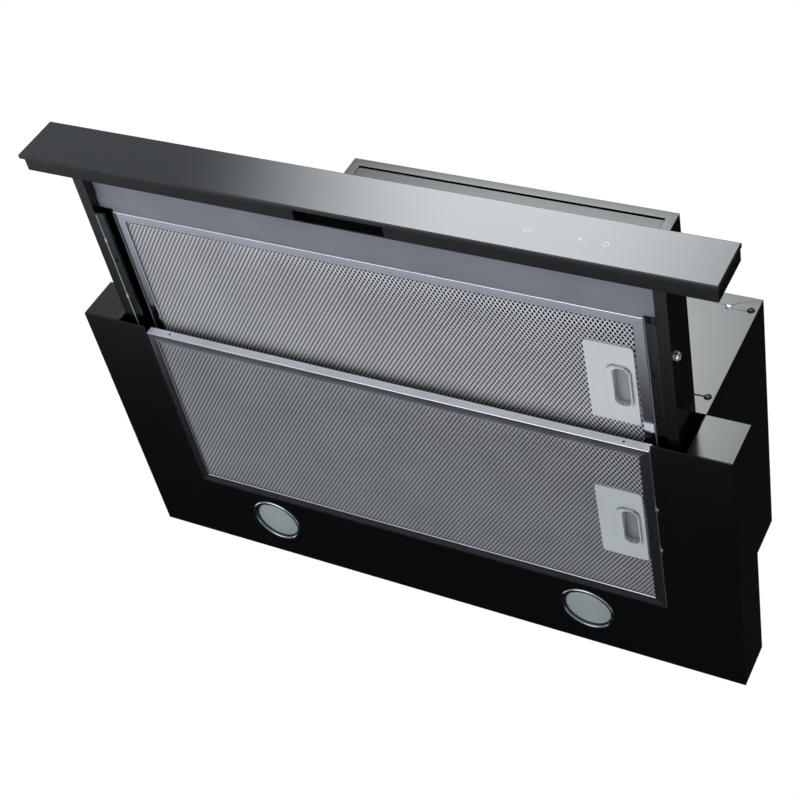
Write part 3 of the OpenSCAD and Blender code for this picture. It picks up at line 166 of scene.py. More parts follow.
@dataclass(frozen=True)
class Finish:
    """One real material with the way that its surface was made."""

    name: str
    # The main tone and the one that soft clouds or crystals mix into it.
    colour: str
    mottle: str
    # The middle of the roughness and how far the grain moves it.
    roughness: float
    spread: float
    grain: Grain
    grain_mm: float
    bump_mm: float
    mottle_mm: float = 40.0
    metallic: float = 0.0
    ior: float = 1.5
    transmission: float = 0.0
    brushed: float = 0.0
    along: Axis = Axis.NONE

    def material(self) -> bpy.types.Material:
        """Gives the finish's material, which is made once.

        Returns:
            The material, with all its patterns on Object coordinates.
        """
        found = bpy.data.materials.get(self.name)
        if found is not None:
            return found
        material = bpy.data.materials.new(self.name)
        material.use_nodes = True
        tree = material.node_tree
        tree.nodes.clear()
        place = add(tree, "ShaderNodeTexCoord")
        stretch = add(tree, "ShaderNodeMapping", links={
            "Vector": place.outputs["Object"], "Scale": self.along.value})
        clouds = add(tree, "ShaderNodeTexNoise", links={
            "Vector": place.outputs["Object"], "Scale": 1 / (self.mottle_mm * MM), "Detail": 3.0})
        grain = self._grain(tree, stretch.outputs["Vector"])
        tone = add(tree, "ShaderNodeMapRange", links={
            "Value": clouds.outputs["Fac"] if self.grain is not Grain.SPANGLE else grain,
            "From Min": 0.3, "From Max": 0.7})
        colour = add(tree, "ShaderNodeMix", {"data_type": "RGBA"}, {
            0: tone.outputs["Result"], 6: linear(self.colour), 7: linear(self.mottle)})
        gloss = add(tree, "ShaderNodeMapRange", links={
            "Value": grain, "From Min": 0.3, "From Max": 0.7,
            "To Min": self.roughness - self.spread, "To Max": self.roughness + self.spread})
        relief = add(tree, "ShaderNodeBump", links={
            "Height": grain, "Distance": self.bump_mm * MM, "Strength": 1.0})
        surface = add(tree, "ShaderNodeBsdfPrincipled", links={
            "Base Color": colour.outputs[2], "Roughness": gloss.outputs["Result"],
            "Normal": relief.outputs["Normal"], "Metallic": self.metallic, "IOR": self.ior,
            "Transmission Weight": self.transmission, "Anisotropic": self.brushed})
        if self.brushed > 0:
            across = add(tree, "ShaderNodeVectorTransform", {
                "vector_type": "VECTOR", "convert_from": "OBJECT", "convert_to": "WORLD"}, {
                "Vector": [0.0 if share < 1 else 1.0 for share in self.along.value]})
            tree.links.new(across.outputs["Vector"], surface.inputs["Tangent"])
        add(tree, "ShaderNodeOutputMaterial", links={"Surface": surface.outputs["BSDF"]})
        return material

    def _grain(self, tree: bpy.types.NodeTree, vector: bpy.types.NodeSocket) -> bpy.types.NodeSocket:
        """Adds the grain's pattern.

        Args:
            tree: the material's tree.
            vector: the stretched coordinates.

        Returns:
            The socket that carries the pattern, around 0.5.
        """
        scale = 1 / (self.grain_mm * MM)
        if self.grain is Grain.SPANGLE:
            cells = add(tree, "ShaderNodeTexVoronoi", links={"Vector": vector, "Scale": scale})
            tone = add(tree, "ShaderNodeSeparateColor", links={"Color": cells.outputs["Color"]})
            return tone.outputs["Red"]
        detail = {Grain.POWDER: 1.0, Grain.ROLLED: 4.0, Grain.MOULDED: 5.0, Grain.SMOOTH: 0.0}[self.grain]
        noise = add(tree, "ShaderNodeTexNoise", links={"Vector": vector, "Scale": scale, "Detail": detail})
        return noise.outputs["Fac"]


# Mild steel sheet with a black powder coat: deep black, with a satin sheen that a soft orange peel breaks up.
POWDER_BLACK = Finish("powder_coated_steel", "#040506", "#060708", 0.17, 0.02, Grain.POWDER, 1.4, 0.002)
# Toughened float glass, enamelled grey behind: a deep clear gloss over an even charcoal.
ENAMELLED_GLASS = Finish("enamelled_glass", "#1a1e21", "#1c2023", 0.10, 0.01, Grain.SMOOTH, 60.0, 0.0)
# The glass's ground and blackened edges: dark, with a fine matt grain.
GROUND_EDGE = Finish("ground_glass_edge", "#0c0e10", "#101214", 0.6, 0.05, Grain.MOULDED, 0.6, 0.004)
# Screen-printed enamel on the glass: pale, flat marks for the touch keys.
KEY_PRINT = Finish("screen_print", "#dfe4e6", "#d5dadc", 0.45, 0.02, Grain.MOULDED, 0.8, 0.001)
# Black ABS, moulded with a fine spark grain: a dull black that goes grey at its edges.
BLACK_ABS = Finish("black_abs", "#090b0d", "#0d0f11", 0.38, 0.05, Grain.MOULDED, 0.9, 0.006, ior=1.4)
# Steel sheet with a grey-blue base coat, as inner sheets have: flat grey with faint rolling streaks.
GREY_SHEET = Finish("grey_coated_sheet", "#62656d", "#6a6d75", 0.38, 0.04, Grain.ROLLED, 2.5, 0.004,
                    along=Axis.X)
# Aluminium strip, rolled and left bare: bright, with streaks along each side of the filter's frame.
STRIP_X = Finish("rolled_aluminium_across", "#dfe1e5", "#d4d7dc", 0.14, 0.015, Grain.ROLLED, 1.2, 0.0002,
                 metallic=1.0, brushed=0.75, along=Axis.X)
STRIP_Y = Finish("rolled_aluminium_deep", "#dfe1e5", "#d4d7dc", 0.14, 0.015, Grain.ROLLED, 1.2, 0.0002,
                 metallic=1.0, brushed=0.5, along=Axis.Y)
# The same strip where the die has bent it into the filter's outer wall: satin, so it scatters more light.
STRIP_WALL = Finish("bent_aluminium_wall", "#e9ebee", "#dfe2e5", 0.5, 0.03, Grain.ROLLED, 1.5, 0.0003,
                    metallic=0.55, along=Axis.X)
# Expanded aluminium foil, washed in acid: each strand glints along its turned edge.
FOIL = Finish("expanded_aluminium", "#d3d6da", "#c6c9cd", 0.36, 0.03, Grain.ROLLED, 0.9, 0.0, metallic=0.5)
# The lower filter's foil: painted greyer for the shade that it lies in, and rougher, so softer in its glints.
SHADED_FOIL = Finish("lower_foil_painted_shade", "#9fa3a7", "#93979b", 0.42, 0.03, Grain.ROLLED, 0.9, 0.0,
                   metallic=0.3)
# The layers behind the outer mesh: the same foil, painted near black for the shade that they lie in.
SHADED_INNER_LAYERS = Finish("inner_layers_painted_shade", "#1a1c20", "#0c0d0f", 0.5, 0.1, Grain.SPANGLE, 3.4, 0.6, metallic=0.3)
# Light grey ABS, moulded with a fine grain: even and matt, a little glossier on its rims.
GREY_ABS = Finish("light_grey_abs", "#b7bcbd", "#b1b6b8", 0.5, 0.04, Grain.MOULDED, 0.7, 0.006)
# The same ABS on the lower filter's plate, painted a shade darker for the shade that it lies in, and as matt.
SHADED_GREY_ABS = Finish("grey_abs_painted_shade", "#a2a9aa", "#9ca3a4", 0.5, 0.04, Grain.MOULDED, 0.7, 0.006)
# The latch cup's floor, painted darker as the shade in its recess, and a little smoother.
PAINTED_CUP_SHADE = Finish("abs_cup_painted_shade", "#8e9395", "#868b8d", 0.42, 0.04, Grain.MOULDED, 0.7, 0.005)
# The lower filter's cup, painted darker again for the shade that the lower filter lies in.
PAINTED_LOWER_CUP_SHADE = Finish("abs_lower_cup_painted_shade", "#787f80", "#717879", 0.42, 0.04, Grain.MOULDED, 0.7, 0.005)
# Galvanised steel: pale grey crystals of several tones.
GALVANISED = Finish("galvanised_steel", "#8f979b", "#7b8387", 0.34, 0.07, Grain.SPANGLE, 7.0, 0.002,
                    metallic=1.0)
# Rolled zinc-plated steel of the ball slides: cool grey with streaks along the slide.
ZINC_SLIDE = Finish("zinc_plated_steel", "#525b5a", "#474f4e", 0.14, 0.03, Grain.ROLLED, 1.2, 0.002,
                    metallic=1.0, along=Axis.Y)
# The same zinc, painted bright as a highlight on the left slide's lower rim and tabs: bright and cool.
ZINC_HIGHLIGHT = Finish("zinc_painted_highlight", "#d4dadb", "#c3cacb", 0.3, 0.05, Grain.ROLLED, 0.8, 0.001,
                  metallic=0.7, along=Axis.Y)
# Bright nickel-chrome plate: mirror-like with hardly any texture.
CHROME = Finish("chrome_plate", "#e3e6e8", "#d9dcdf", 0.10, 0.03, Grain.SMOOTH, 12.0, 0.0, metallic=1.0)
# The same plate on the lamps' thin bezels, painted greyer for the dark reflection that they show, and
# rougher: a softer mirror.
SHADED_BEZEL_CHROME = Finish("bezel_chrome_painted_dark", "#8d9798", "#838d8e", 0.17, 0.04, Grain.SMOOTH, 8.0, 0.0,
                     metallic=1.0)
# Pressed and frosted glass of the lamp's lens: a soft grey-green that lets the reflector's shine through.
LENS_GLASS = Finish("frosted_glass", "#abb8b9", "#b4c0c1", 0.2, 0.05, Grain.SMOOTH, 6.0, 0.0,
                    transmission=0.55)
# Aluminised plastic of the reflector: soft silver.
REFLECTOR = Finish("aluminised_reflector", "#e6eeec", "#d6e0de", 0.2, 0.04, Grain.SMOOTH, 5.0, 0.0,
                   metallic=1.0)
# White nylon of flaps and small fittings: dull white.
WHITE_NYLON = Finish("white_nylon", "#d9dad6", "#d0d2ce", 0.5, 0.04, Grain.MOULDED, 1.0, 0.01)
# Electrical steel and painted end caps of the motor: dark grey with rolling streaks.
MOTOR_STEEL = Finish("motor_steel", "#6f7478", "#5c6165", 0.4, 0.08, Grain.ROLLED, 1.5, 0.006,
                     metallic=1.0, along=Axis.Y)
# Glass-fibre board under green solder mask: a satin green with slightly darker areas.
SOLDER_MASK = Finish("solder_mask", "#1f5a3a", "#174a2f", 0.32, 0.05, Grain.SPANGLE, 2.2, 0.01)


def linked(name: str, data: bpy.types.ID) -> bpy.types.Object:
    """Puts a mesh, a lamp or a camera into the scene.

    Args:
        name: the object's name.
        data: what it shows.

    Returns:
        The object.
    """
    made = bpy.data.objects.new(name, data)
    bpy.context.scene.collection.objects.link(made)
    return made


class Workshop:
    """Keeps the loaded frame and brings each finished piece into it."""

    def __init__(self) -> None:
        """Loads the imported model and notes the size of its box."""
        self.frame: dict[str, Any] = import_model()
        self.cad_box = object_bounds()
        self.done: set[str] = set()

    def node(self, name: str) -> bpy.types.Object:
        """Gives one node of the frame by its name."""
        return self.frame["nodes"][name]

    def dress(self, finish: Finish, names: Iterable[str]) -> None:
        """Gives nodes that stay as they are a finish.

        Args:
            finish: the material that they get.
            names: the nodes' names.
        """
        for name in names:
            mesh = self.node(name).data
            mesh.materials.clear()
            mesh.materials.append(finish.material())
            self.done.add(name)
            log.info("%s: %s", name, finish.name)

    def piece(self, name: str, mesh: bpy.types.Mesh, finishes: Sequence[Finish], body: str, slot: str,
              replaced: Sequence[str] = ()) -> None:
        """Makes a mesh a piece of the object.

        Args:
            name: the piece's name.
            mesh: its mesh, in metres in the frame.
            finishes: one finish for each material number of its faces.
            body: the body that it rides on.
            slot: the record's material slot; not used.
            replaced: the nodes that it stands for.
        """
        mesh.name = name
        numbers = [face.material_index for face in mesh.polygons]
        mesh.materials.clear()
        for finish in finishes:
            mesh.materials.append(finish.material())
        mesh.polygons.foreach_set("material_index", numbers)
        made = linked(name, mesh)
        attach(made, body)
        if replaced:
            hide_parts(*replaced)
            self.done.update(replaced)
        triangles = sum(len(face.vertices) - 2 for face in mesh.polygons)
        log.info("%s: %d triangles on %s, %s", name, triangles, body, ", ".join(f.name for f in finishes))

    def check_all_done(self) -> None:
        """Stops if a node of the frame has neither a finish nor a piece that stands for it."""
        left = sorted(set(self.frame["nodes"]) - self.done)
        if left:
            raise RuntimeError(f"no finish for {', '.join(left)}")


def baked(mesh: bpy.types.Mesh, modifiers: Sequence[tuple[str, dict[str, Any]]]) -> bpy.types.Mesh:
    """Runs a mesh through modifiers and gives the plain mesh that comes out.

    Args:
        mesh: the mesh to start from, which is removed.
        modifiers: each modifier's type and its settings, in order.

    Returns:
        The new mesh.
    """
    carrier = linked("carrier", mesh)
    for kind, settings in modifiers:
        modifier = carrier.modifiers.new(kind.lower(), kind)
        for key, value in settings.items():
            if key.startswith("Socket_"):
                modifier[key] = value
            else:
                setattr(modifier, key, value)
    graph = bpy.context.evaluated_depsgraph_get()
    result = bpy.data.meshes.new_from_object(carrier.evaluated_get(graph))
    bpy.data.objects.remove(carrier)
    bpy.data.meshes.remove(mesh)
    return result


def shaded(mesh: bpy.types.Mesh, crease_deg: float = 32.0) -> bpy.types.Mesh:
    """Smooths the shading of a mesh where its faces meet at a low angle, with its broad faces kept flat.

    Args:
        mesh: the mesh to shade, which is removed.
        crease_deg: edges that turn more than this stay sharp.

    Returns:
        The new mesh.
    """
    form = bmesh.new()
    form.from_mesh(mesh)
    for face in form.faces:
        face.smooth = True
    for edge in form.edges:
        edge.smooth = len(edge.link_faces) == 2 and edge.calc_face_angle(math.pi) < math.radians(crease_deg)
    form.to_mesh(mesh)
    form.free()
    return baked(mesh, [("WEIGHTED_NORMAL", {"keep_sharp": True, "weight": 100})])


def softened(source: bpy.types.Object, radius_mm: float, crease_deg: float = 38.0) -> bpy.types.Mesh:
    """Copies a node's mesh and rounds its edges as folding, moulding or trimming leaves them.

    Args:
        source: the node.
        radius_mm: the radius of its edges.
        crease_deg: edges that turn less than this are left.

    Returns:
        A new mesh.
    """
    form = bmesh.new()
    form.from_mesh(source.data)
    bmesh.ops.remove_doubles(form, verts=form.verts, dist=WELD)
    bmesh.ops.dissolve_limit(form, angle_limit=math.radians(FLAT_DEG), verts=form.verts, edges=form.edges)
    bmesh.ops.triangulate(form, faces=[face for face in form.faces if len(face.verts) > 4])
    mesh = bpy.data.meshes.new("softened")
    form.to_mesh(mesh)
    form.free()
    return shaded(baked(mesh, [("BEVEL", {
        "width": radius_mm * MM, "segments": EDGE_STEPS, "limit_method": "ANGLE",
        "angle_limit": math.radians(crease_deg), "use_clamp_overlap": False})]))


def cut(mesh: bpy.types.Mesh, tool: bpy.types.Mesh) -> bpy.types.Mesh:
    """Cuts one mesh out of another.

    Args:
        mesh: the mesh to cut, which is removed.
        tool: what is taken out of it.

    Returns:
        The new mesh.
    """
    cutter = linked("cutter", tool)
    result = baked(mesh, [("BOOLEAN", {"operation": "DIFFERENCE", "object": cutter, "solver": "EXACT"})])
    bpy.data.objects.remove(cutter)
    return result


def mesh_of(form: bmesh.types.BMesh) -> bpy.types.Mesh:
    """Turns a form drawn in millimetres into a mesh in metres.

    Args:
        form: the bmesh, which is freed.

    Returns:
        The mesh.
    """
    bmesh.ops.recalc_face_normals(form, faces=form.faces)
    for vertex in form.verts:
        vertex.co *= MM
    mesh = bpy.data.meshes.new("form")
    form.to_mesh(mesh)
    form.free()
    return mesh


def box_mm(node: str) -> tuple[Vector, Vector]:
    """Gives the low and the high corner of a node's box in millimetres."""
    low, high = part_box(node)
    return low / MM, high / MM


def block(form: bmesh.types.BMesh, low: Sequence[float], high: Sequence[float]) -> None:
    """Adds a block to a form.

    Args:
        form: the form, in millimetres.
        low: the block's low corner.
        high: its high corner.
    """
    start, end = Vector(low), Vector(high)
    bmesh.ops.create_cube(form, size=1, matrix=Matrix.Translation((start + end) / 2) @ Matrix.Diagonal(
        (*(end - start), 1)))


def rod(form: bmesh.types.BMesh, centre: tuple[float, float, float], radius: float, length: float,
        steps: int) -> None:
    """Adds a round rod that lies along the depth to a form.

    Args:
        form: the form, in millimetres.
        centre: the rod's middle.
        radius: its radius.
        length: its length.
        steps: the faces round it.
    """
    bmesh.ops.create_cone(form, cap_ends=True, segments=steps, radius1=radius, radius2=radius, depth=length,
                          matrix=Matrix.Translation(centre) @ Matrix.Rotation(math.pi / 2, 4, "X"))


def arc(centre: tuple[float, float], radius: float, start_deg: float, end_deg: float,
        steps: int) -> list[tuple[float, float]]:
    """Gives points on an arc.

    Args:
        centre: the arc's middle.
        radius: its radius.
        start_deg: the angle of the first point.
        end_deg: the angle of the last point.
        steps: the stretches between the points.

    Returns:
        The points, one more than the stretches.
    """
    turns = [math.radians(start_deg + (end_deg - start_deg) * i / steps) for i in range(steps + 1)]
    return [(centre[0] + radius * math.cos(turn), centre[1] + radius * math.sin(turn)) for turn in turns]


def turned(profile: Sequence[tuple[float, float]], centre: tuple[float, float, float],
           steps: int = 72) -> bmesh.types.BMesh:
    """Turns a profile round a vertical axis.

    Args:
        profile: radius and height of each point, from the axis out and back to it.
        centre: where radius 0 and height 0 lie.
        steps: the faces round the turn.

    Returns:
        A closed form, in millimetres.
    """
    form = bmesh.new()
    rings: list[list[bmesh.types.BMVert]] = []
    for radius, height in profile:
        points = arc((centre[0], centre[1]), radius, 0, 360, steps)[:steps if radius > 0 else 1]
        rings.append([form.verts.new((x, y, centre[2] + height)) for x, y in points])
    pairs = list(zip(rings, rings[1:]))
    if profile[0][0] > 0:
        pairs.append((rings[-1], rings[0]))
    for lower, upper in pairs:
        for i in range(steps):
            j = (i + 1) % steps
            corners = [ring[k % len(ring)] for ring, k in ((lower, i), (lower, j), (upper, j), (upper, i))]
            unique = list(dict.fromkeys(corners))
            if len(unique) > 2:
                form.faces.new(unique)
    return form


@dataclass
class FixedCase:
    """The sheet-metal case: underside, wings, chassis and the box over the blower."""

    shop: Workshop
    fold_radius: float = 0.4
    screw_radius: float = 0.25
    sheet_nodes: tuple[str, ...] = (
        "underside_panel", "wing_left", "wing_right", "chassis_shell", "chassis_front", "chassis_rear",
        "top_box_shell", "top_box_front")

    def build(self) -> None:
        """Rounds the folds of the sheets and the rims of the screws, and dresses them."""
        shop = self.shop
        for name in self.sheet_nodes:
            mesh = softened(shop.node(name), self.fold_radius)
            shop.piece(f"{name}_sheet", mesh, [POWDER_BLACK], "case", "black_steel", [name])
        shop.dress(POWDER_BLACK, ["runner_rail_left", "runner_rail_right"])
        for tone, finish, slot in (("black", POWDER_BLACK, "black_steel"), ("silver", CHROME, "chrome")):
            node = f"panel_screws_{tone}"
            mesh = softened(shop.node(node), self.screw_radius)
            shop.piece(f"{tone}_screws", mesh, [finish], "case", slot, [node])


@dataclass
class AirPath:
    """The blower with its motor, the duct collar and the flaps that close it."""

    shop: Workshop
    moulded_radius: float = 0.5

    def build(self) -> None:
        """Dresses what moves the air and what steers it."""
        shop = self.shop
        for name, body in (("duct_collar", "case"), ("damper_flap_left", "damper_left"),
                           ("damper_flap_right", "damper_right")):
            shop.piece(f"{name}_moulding", softened(shop.node(name), self.moulded_radius), [BLACK_ABS], body,
                       "black_plastic", [name])
        shop.dress(CHROME, ["damper_pin", "rotor_shaft"])
        shop.dress(GALVANISED, ["blower_scroll", "inlet_ring", "motor_bracket", "impeller"])
        shop.dress(MOTOR_STEEL, ["motor"])
        shop.dress(WHITE_NYLON, ["control_box", "control_box_lid"])
        shop.dress(BLACK_ABS, ["cable_gland"])


@dataclass
class Lamp:
    """One round lamp: chrome bezel, pressed lens, reflector and its small bulb."""

    shop: Workshop
    side: str
    lens_radius: float = 22.0
    lens_play: float = 0.1
    lens_bulge: float = 1.6
    lens_back_bulge: float = 1.5
    lens_thickness: float = 1.4
    lens_steps: int = 180
    profile_steps: int = 10
    ribs: int = 30
    rib_band: tuple[float, float] = (12.0, 20.5)
    rib_height: float = 0.22
    bezel_radius: float = 0.3
    bezel_crease: float = 25.0
    reflector_facets: int = 24
    capsule_steps: int = 32

    def build(self) -> None:
        """Builds the lamp's pieces in the housing's hollow."""
        shop, side = self.shop, self.side
        low, high = box_mm(f"lamp_lens_{side}")
        centre = ((low.x + high.x) / 2, (low.y + high.y) / 2, low.z)
        bezel = softened(shop.node(f"lamp_bezel_{side}"), self.bezel_radius, self.bezel_crease)
        lens = self._ribbed(turned(self._lens_profile(), centre, self.lens_steps), centre)
        gasket = turned(self._gasket_profile(), centre)
        dish = turned(self._dish_profile(), centre, self.reflector_facets)
        capsule = turned(self._capsule_profile(), centre, self.capsule_steps)
        for name, mesh, finish, slot, replaced in (
                ("ring", bezel, SHADED_BEZEL_CHROME, "chrome", [f"lamp_bezel_{side}"]),
                ("glass", shaded(mesh_of(lens)), LENS_GLASS, "lamp_glass", [f"lamp_lens_{side}"]),
                ("gasket", shaded(mesh_of(gasket)), BLACK_ABS, "black_plastic", []),
                ("reflector", mesh_of(dish), REFLECTOR, "chrome", []),
                ("capsule", shaded(mesh_of(capsule)), REFLECTOR, "lamp_glass", [])):
            shop.piece(f"lamp_{name}_{side}", mesh, [finish], "case", slot, replaced)
        shop.dress(GALVANISED, [f"lamp_housing_{side}"])

    def _lens_profile(self) -> list[tuple[float, float]]:
        """Draws the lens's section: a meniscus that bulges down in its middle.

        Returns:
            The radius and height of each point, out along the face and in along the back.
        """
        rim, bulge, back_bulge = self.lens_radius - self.lens_play, self.lens_bulge, self.lens_back_bulge
        shares = [i / self.profile_steps for i in range(self.profile_steps + 1)]
        face = [(rim * share, bulge * share ** 2) for share in shares]
        back = [(rim * share, self.lens_thickness + back_bulge * share ** 2) for share in reversed(shares)]
        return face + back

    def _ribbed(self, form: bmesh.types.BMesh, centre: tuple[float, float, float]) -> bmesh.types.BMesh:
        """Presses radial ribs into the lens's face.

        Args:
            form: the lens.
            centre: the middle of its rim.

        Returns:
            The same form.
        """
        start, end = self.rib_band
        for vertex in form.verts:
            x, y = vertex.co.x - centre[0], vertex.co.y - centre[1]
            share = (math.hypot(x, y) - start) / (end - start)
            if 0 < share < 1:
                wave = 0.5 - 0.5 * math.cos(self.ribs * math.atan2(y, x))
                vertex.co.z += self.rib_height * wave * math.sin(math.pi * share)
        return form

    def _gasket_profile(self) -> list[tuple[float, float]]:
        """Gives the gasket's section: a thin ring that hides the lens's rim."""
        inner, outer = self.lens_radius - 1.0, self.lens_radius - 0.2
        return [(inner, 1.25), (outer, 0.9), (outer, 1.6), (inner, 1.6)]

    def _dish_profile(self) -> list[tuple[float, float]]:
        """Gives the reflector's section: a shallow dish with a thin wall."""
        inner = [(3.5, 14.0), (7.0, 12.5), (12.0, 9.5), (17.0, 6.0), (21.0, 3.6)]
        outer = [(21.4, 4.4), (17.4, 6.8), (12.4, 10.3), (7.2, 13.3), (3.5, 14.8)]
        return inner + outer

    def _capsule_profile(self) -> list[tuple[float, float]]:
        """Gives the bulb's section: a small capsule that points down."""
        return [(0.0, 7.0), (1.6, 7.4), (2.7, 8.6), (3.2, 10.5), (3.2, 15.2), (0.0, 15.2)]


@dataclass
class GreaseFilter:
    """One grease filter: mitred frame, expanded mesh, inner layers, handle plate and latch."""

    shop: Workshop
    place: str
    frame_body: str
    latch_body: str
    foil: Finish
    plastic: Finish
    # The latch cup's floor: the plastic painted darker, as the shade in its recess.
    worn: Finish
    roof_deg: float
    # The folded strip.
    border: float = 9.0
    wall: float = 0.5
    outer_fold: float = 0.45
    hem: float = 0.6
    ridge_share: float = 0.55
    fold_steps: int = 5
    strip_crease: float = 15.0
    seam: float = 0.16
    # Each tab's width, distance from the middle, reach, and the heights of its two faces.
    tab: tuple[float, float, float] = (14.0, 45.0, 1.8)
    tab_heights: tuple[float, float] = (1.2, 3.2)
    # Each latch slot's width, distance from the latch's middle, height and lowest height.
    slot: tuple[float, float, float, float] = (5.6, 25.0, 2.8, 2.0)
    # Each drain hole's distance from the middle, radius and height.
    drain: tuple[float, float, float] = (212.0, 1.1, 4.2)
    drain_steps: int = 16
    # The plastic's edges, and the latch's cup: from and to along the latch, and how deep its floor starts.
    handle_radius: float = 0.2
    latch_radius: float = 0.12
    cup: tuple[float, float, float] = (4.5, 18.5, 3.2)
    # The outer mesh, which is tucked under the frame and under the handle plate.
    pitch_x: float = 3.76
    pitch_y: float = 5.69
    strand: float = 1.0
    proud: float = 0.38
    end_share: float = 0.5
    mesh_rise: float = 2.0
    mesh_tuck: float = 1.2
    plate_lap: float = 0.8
    pillow: float = 1.0
    pillow_run: float = 16.0
    knuckle_deg: float = 75.0
    weld: float = 0.02
    # The layers behind it: how far inside the pad's sides and the filter's two faces, and the latch's room.
    layer_inset: float = 1.0
    layer_rise: float = 3.4
    layer_back: float = 2.0
    layer_radius: float = 0.8
    latch_room: tuple[float, float] = (8.0, 3.0)
    # The corners of the folded frame and of the latch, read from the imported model.
    low: Vector = field(init=False)
    high: Vector = field(init=False)
    latch_low: Vector = field(init=False)
    latch_high: Vector = field(init=False)

    def build(self) -> None:
        """Builds the filter's pieces."""
        shop, place = self.shop, self.place
        self.low, self.high = box_mm(f"{place}_filter_frame")
        self.latch_low, self.latch_high = box_mm(f"{place}_filter_latch")
        self._frame()
        self._mesh()
        self._layers()
        shop.piece(f"{place}_handle_plate", softened(shop.node(f"{place}_filter_handle"), self.handle_radius),
                   [self.plastic], self.frame_body, "handle_plastic", [f"{place}_filter_handle"])
        latch = softened(shop.node(f"{place}_filter_latch"), self.latch_radius)
        left, right, depth = self.cup
        # Faces deep in the cup take the painted shade of the recess.
        for face in latch.polygons:
            x, _, z = face.center / MM
            if self.latch_low.x + left < x < self.latch_low.x + right and z > self.latch_low.z + depth:
                face.material_index = 1
        shop.piece(f"{place}_finger_latch", latch, [self.plastic, self.worn],
                   self.latch_body, "handle_plastic", [f"{place}_filter_latch"])

    def _section(self) -> list[tuple[float, float]]:
        """Draws the folded strip's section, whose roof slopes from the ridge to the fold and to the hem.

        Returns:
            The distance from the filter's edge and the height of each point, round the outline.
        """
        height, border, hem, fold = self.high.z - self.low.z, self.border, self.hem, self.outer_fold
        ridge, slope = self.ridge_share * border, math.tan(math.radians(self.roof_deg))
        # A roof that falls towards the hem starts higher, so that it stays inside the frame's box.
        lift = max(0.0, -slope) * ridge
        outer_drop, inner_drop = (ridge - fold) * slope + lift, (border - hem - ridge) * slope + lift
        steps, within = self.fold_steps, fold + self.wall
        roof = (arc((fold, fold + outer_drop), fold, 180, 270, steps) + [(ridge, lift)]
                + arc((border - hem, hem + inner_drop), hem, -90, 90, steps))
        back = (arc((border - hem, height - hem), hem, -90, 90, steps)
                + arc((fold, height - fold), fold, 90, 180, steps))
        inside = [(within, 2 * hem + inner_drop), (self.wall, within + outer_drop),
                  (self.wall, height - within), (within, height - 2 * hem)]
        return roof + inside + back

    def _frame(self) -> None:
        """Makes the four mitred sides, each closed at its mitres, with their tabs, slots and drain holes."""
        form = bmesh.new()
        x0, x1, y0, y1, z0 = -self.high.x, self.high.x, self.low.y, self.high.y, self.low.z
        section, gap = self._section(), self.seam / 2
        count = len(section)
        sides = (
            (lambda d: ((x0 + d + gap, y0 + d), (x1 - d - gap, y0 + d)), 0),
            (lambda d: ((x1 - d - gap, y1 - d), (x0 + d + gap, y1 - d)), 0),
            (lambda d: ((x1 - d, y0 + d + gap), (x1 - d, y1 - d - gap)), 1),
            (lambda d: ((x0 + d, y1 - d - gap), (x0 + d, y0 + d + gap)), 1),
        )
        for ends, material in sides:
            near: list[bmesh.types.BMVert] = []
            far: list[bmesh.types.BMVert] = []
            for d, z in section:
                for loop, (x, y) in zip((near, far), ends(d)):
                    loop.append(form.verts.new((x, y, z0 + z)))
            made = [form.faces.new((near[i - 1], near[i], far[i], far[i - 1])) for i in range(count)]
            outer_wall = made[0]
            made += [form.faces.new(near), form.faces.new(far)]
            for face in made:
                face.material_index = 2 if face is outer_wall else material
        wide, off, reach = self.tab
        bottom, top = (z0 + height for height in self.tab_heights)
        for y in ((y0 + y1) / 2 - off, (y0 + y1) / 2 + off):
            block(form, (x0 - reach, y - wide / 2, bottom), (x0 + self.wall, y + wide / 2, top))
        strip = shaded(cut(mesh_of(form), self._openings()), self.strip_crease)
        self.shop.piece(f"{self.place}_filter_strip", strip, [STRIP_X, STRIP_Y, STRIP_WALL],
                        self.frame_body, "filter_frame", [f"{self.place}_filter_frame"])

    def _openings(self) -> bpy.types.Mesh:
        """Makes what cuts the latch's slots into the right wall and the drain holes into the front wall.

        Returns:
            The tools as one mesh.
        """
        form, reach = bmesh.new(), 4 * self.wall
        wide, off, high, rise = self.slot
        right, bottom = self.high.x, self.low.z + rise
        middle = (self.latch_low.y + self.latch_high.y) / 2
        for y in (middle - off, middle + off):
            block(form, (right - reach, y - wide / 2, bottom), (right + reach, y + wide / 2, bottom + high))
        place, radius, rise = self.drain
        for x in (-place, place):
            rod(form, (x, self.low.y, self.low.z + rise), radius, 2 * reach, self.drain_steps)
        return mesh_of(form)

    def _star(self) -> bpy.types.Mesh:
        """Makes one crossing of the expanded mesh: four half strands that rise to a knuckle, closed above.

        Returns:
            The crossing's mesh, round the origin.
        """
        ax, ay = self.pitch_x / 4, self.pitch_y / 4
        length = math.hypot(ax, ay)
        half = self.strand / 2
        side_x, side_y = half * length / ay, half * length / ax
        drop, end_drop = self.proud, self.proud * self.end_share
        form = bmesh.new()
        centre = form.verts.new((0, 0, -drop))
        crotch = [form.verts.new(p) for p in
                  ((side_x, 0, 0), (0, side_y, 0), (-side_x, 0, 0), (0, -side_y, 0))]
        for quarter, (sx, sy) in enumerate(((1, 1), (-1, 1), (-1, -1), (1, -1))):
            nx, ny = ay / length * half, ax / length * half
            end = form.verts.new((sx * ax, sy * ay, -end_drop))
            near_x = form.verts.new((sx * (ax + nx), sy * (ay - ny), 0))
            near_y = form.verts.new((sx * (ax - nx), sy * (ay + ny), 0))
            cx, cy = (crotch[0] if sx > 0 else crotch[2]), (crotch[1] if sy > 0 else crotch[3])
            faces = [(centre, end, near_x, cx), (centre, cy, near_y, end), (cx, near_x, near_y, cy)]
            for corners in faces:
                form.faces.new(corners if sx * sy > 0 else tuple(reversed(corners)))
        form.faces.new(crotch)
        return mesh_of(form)

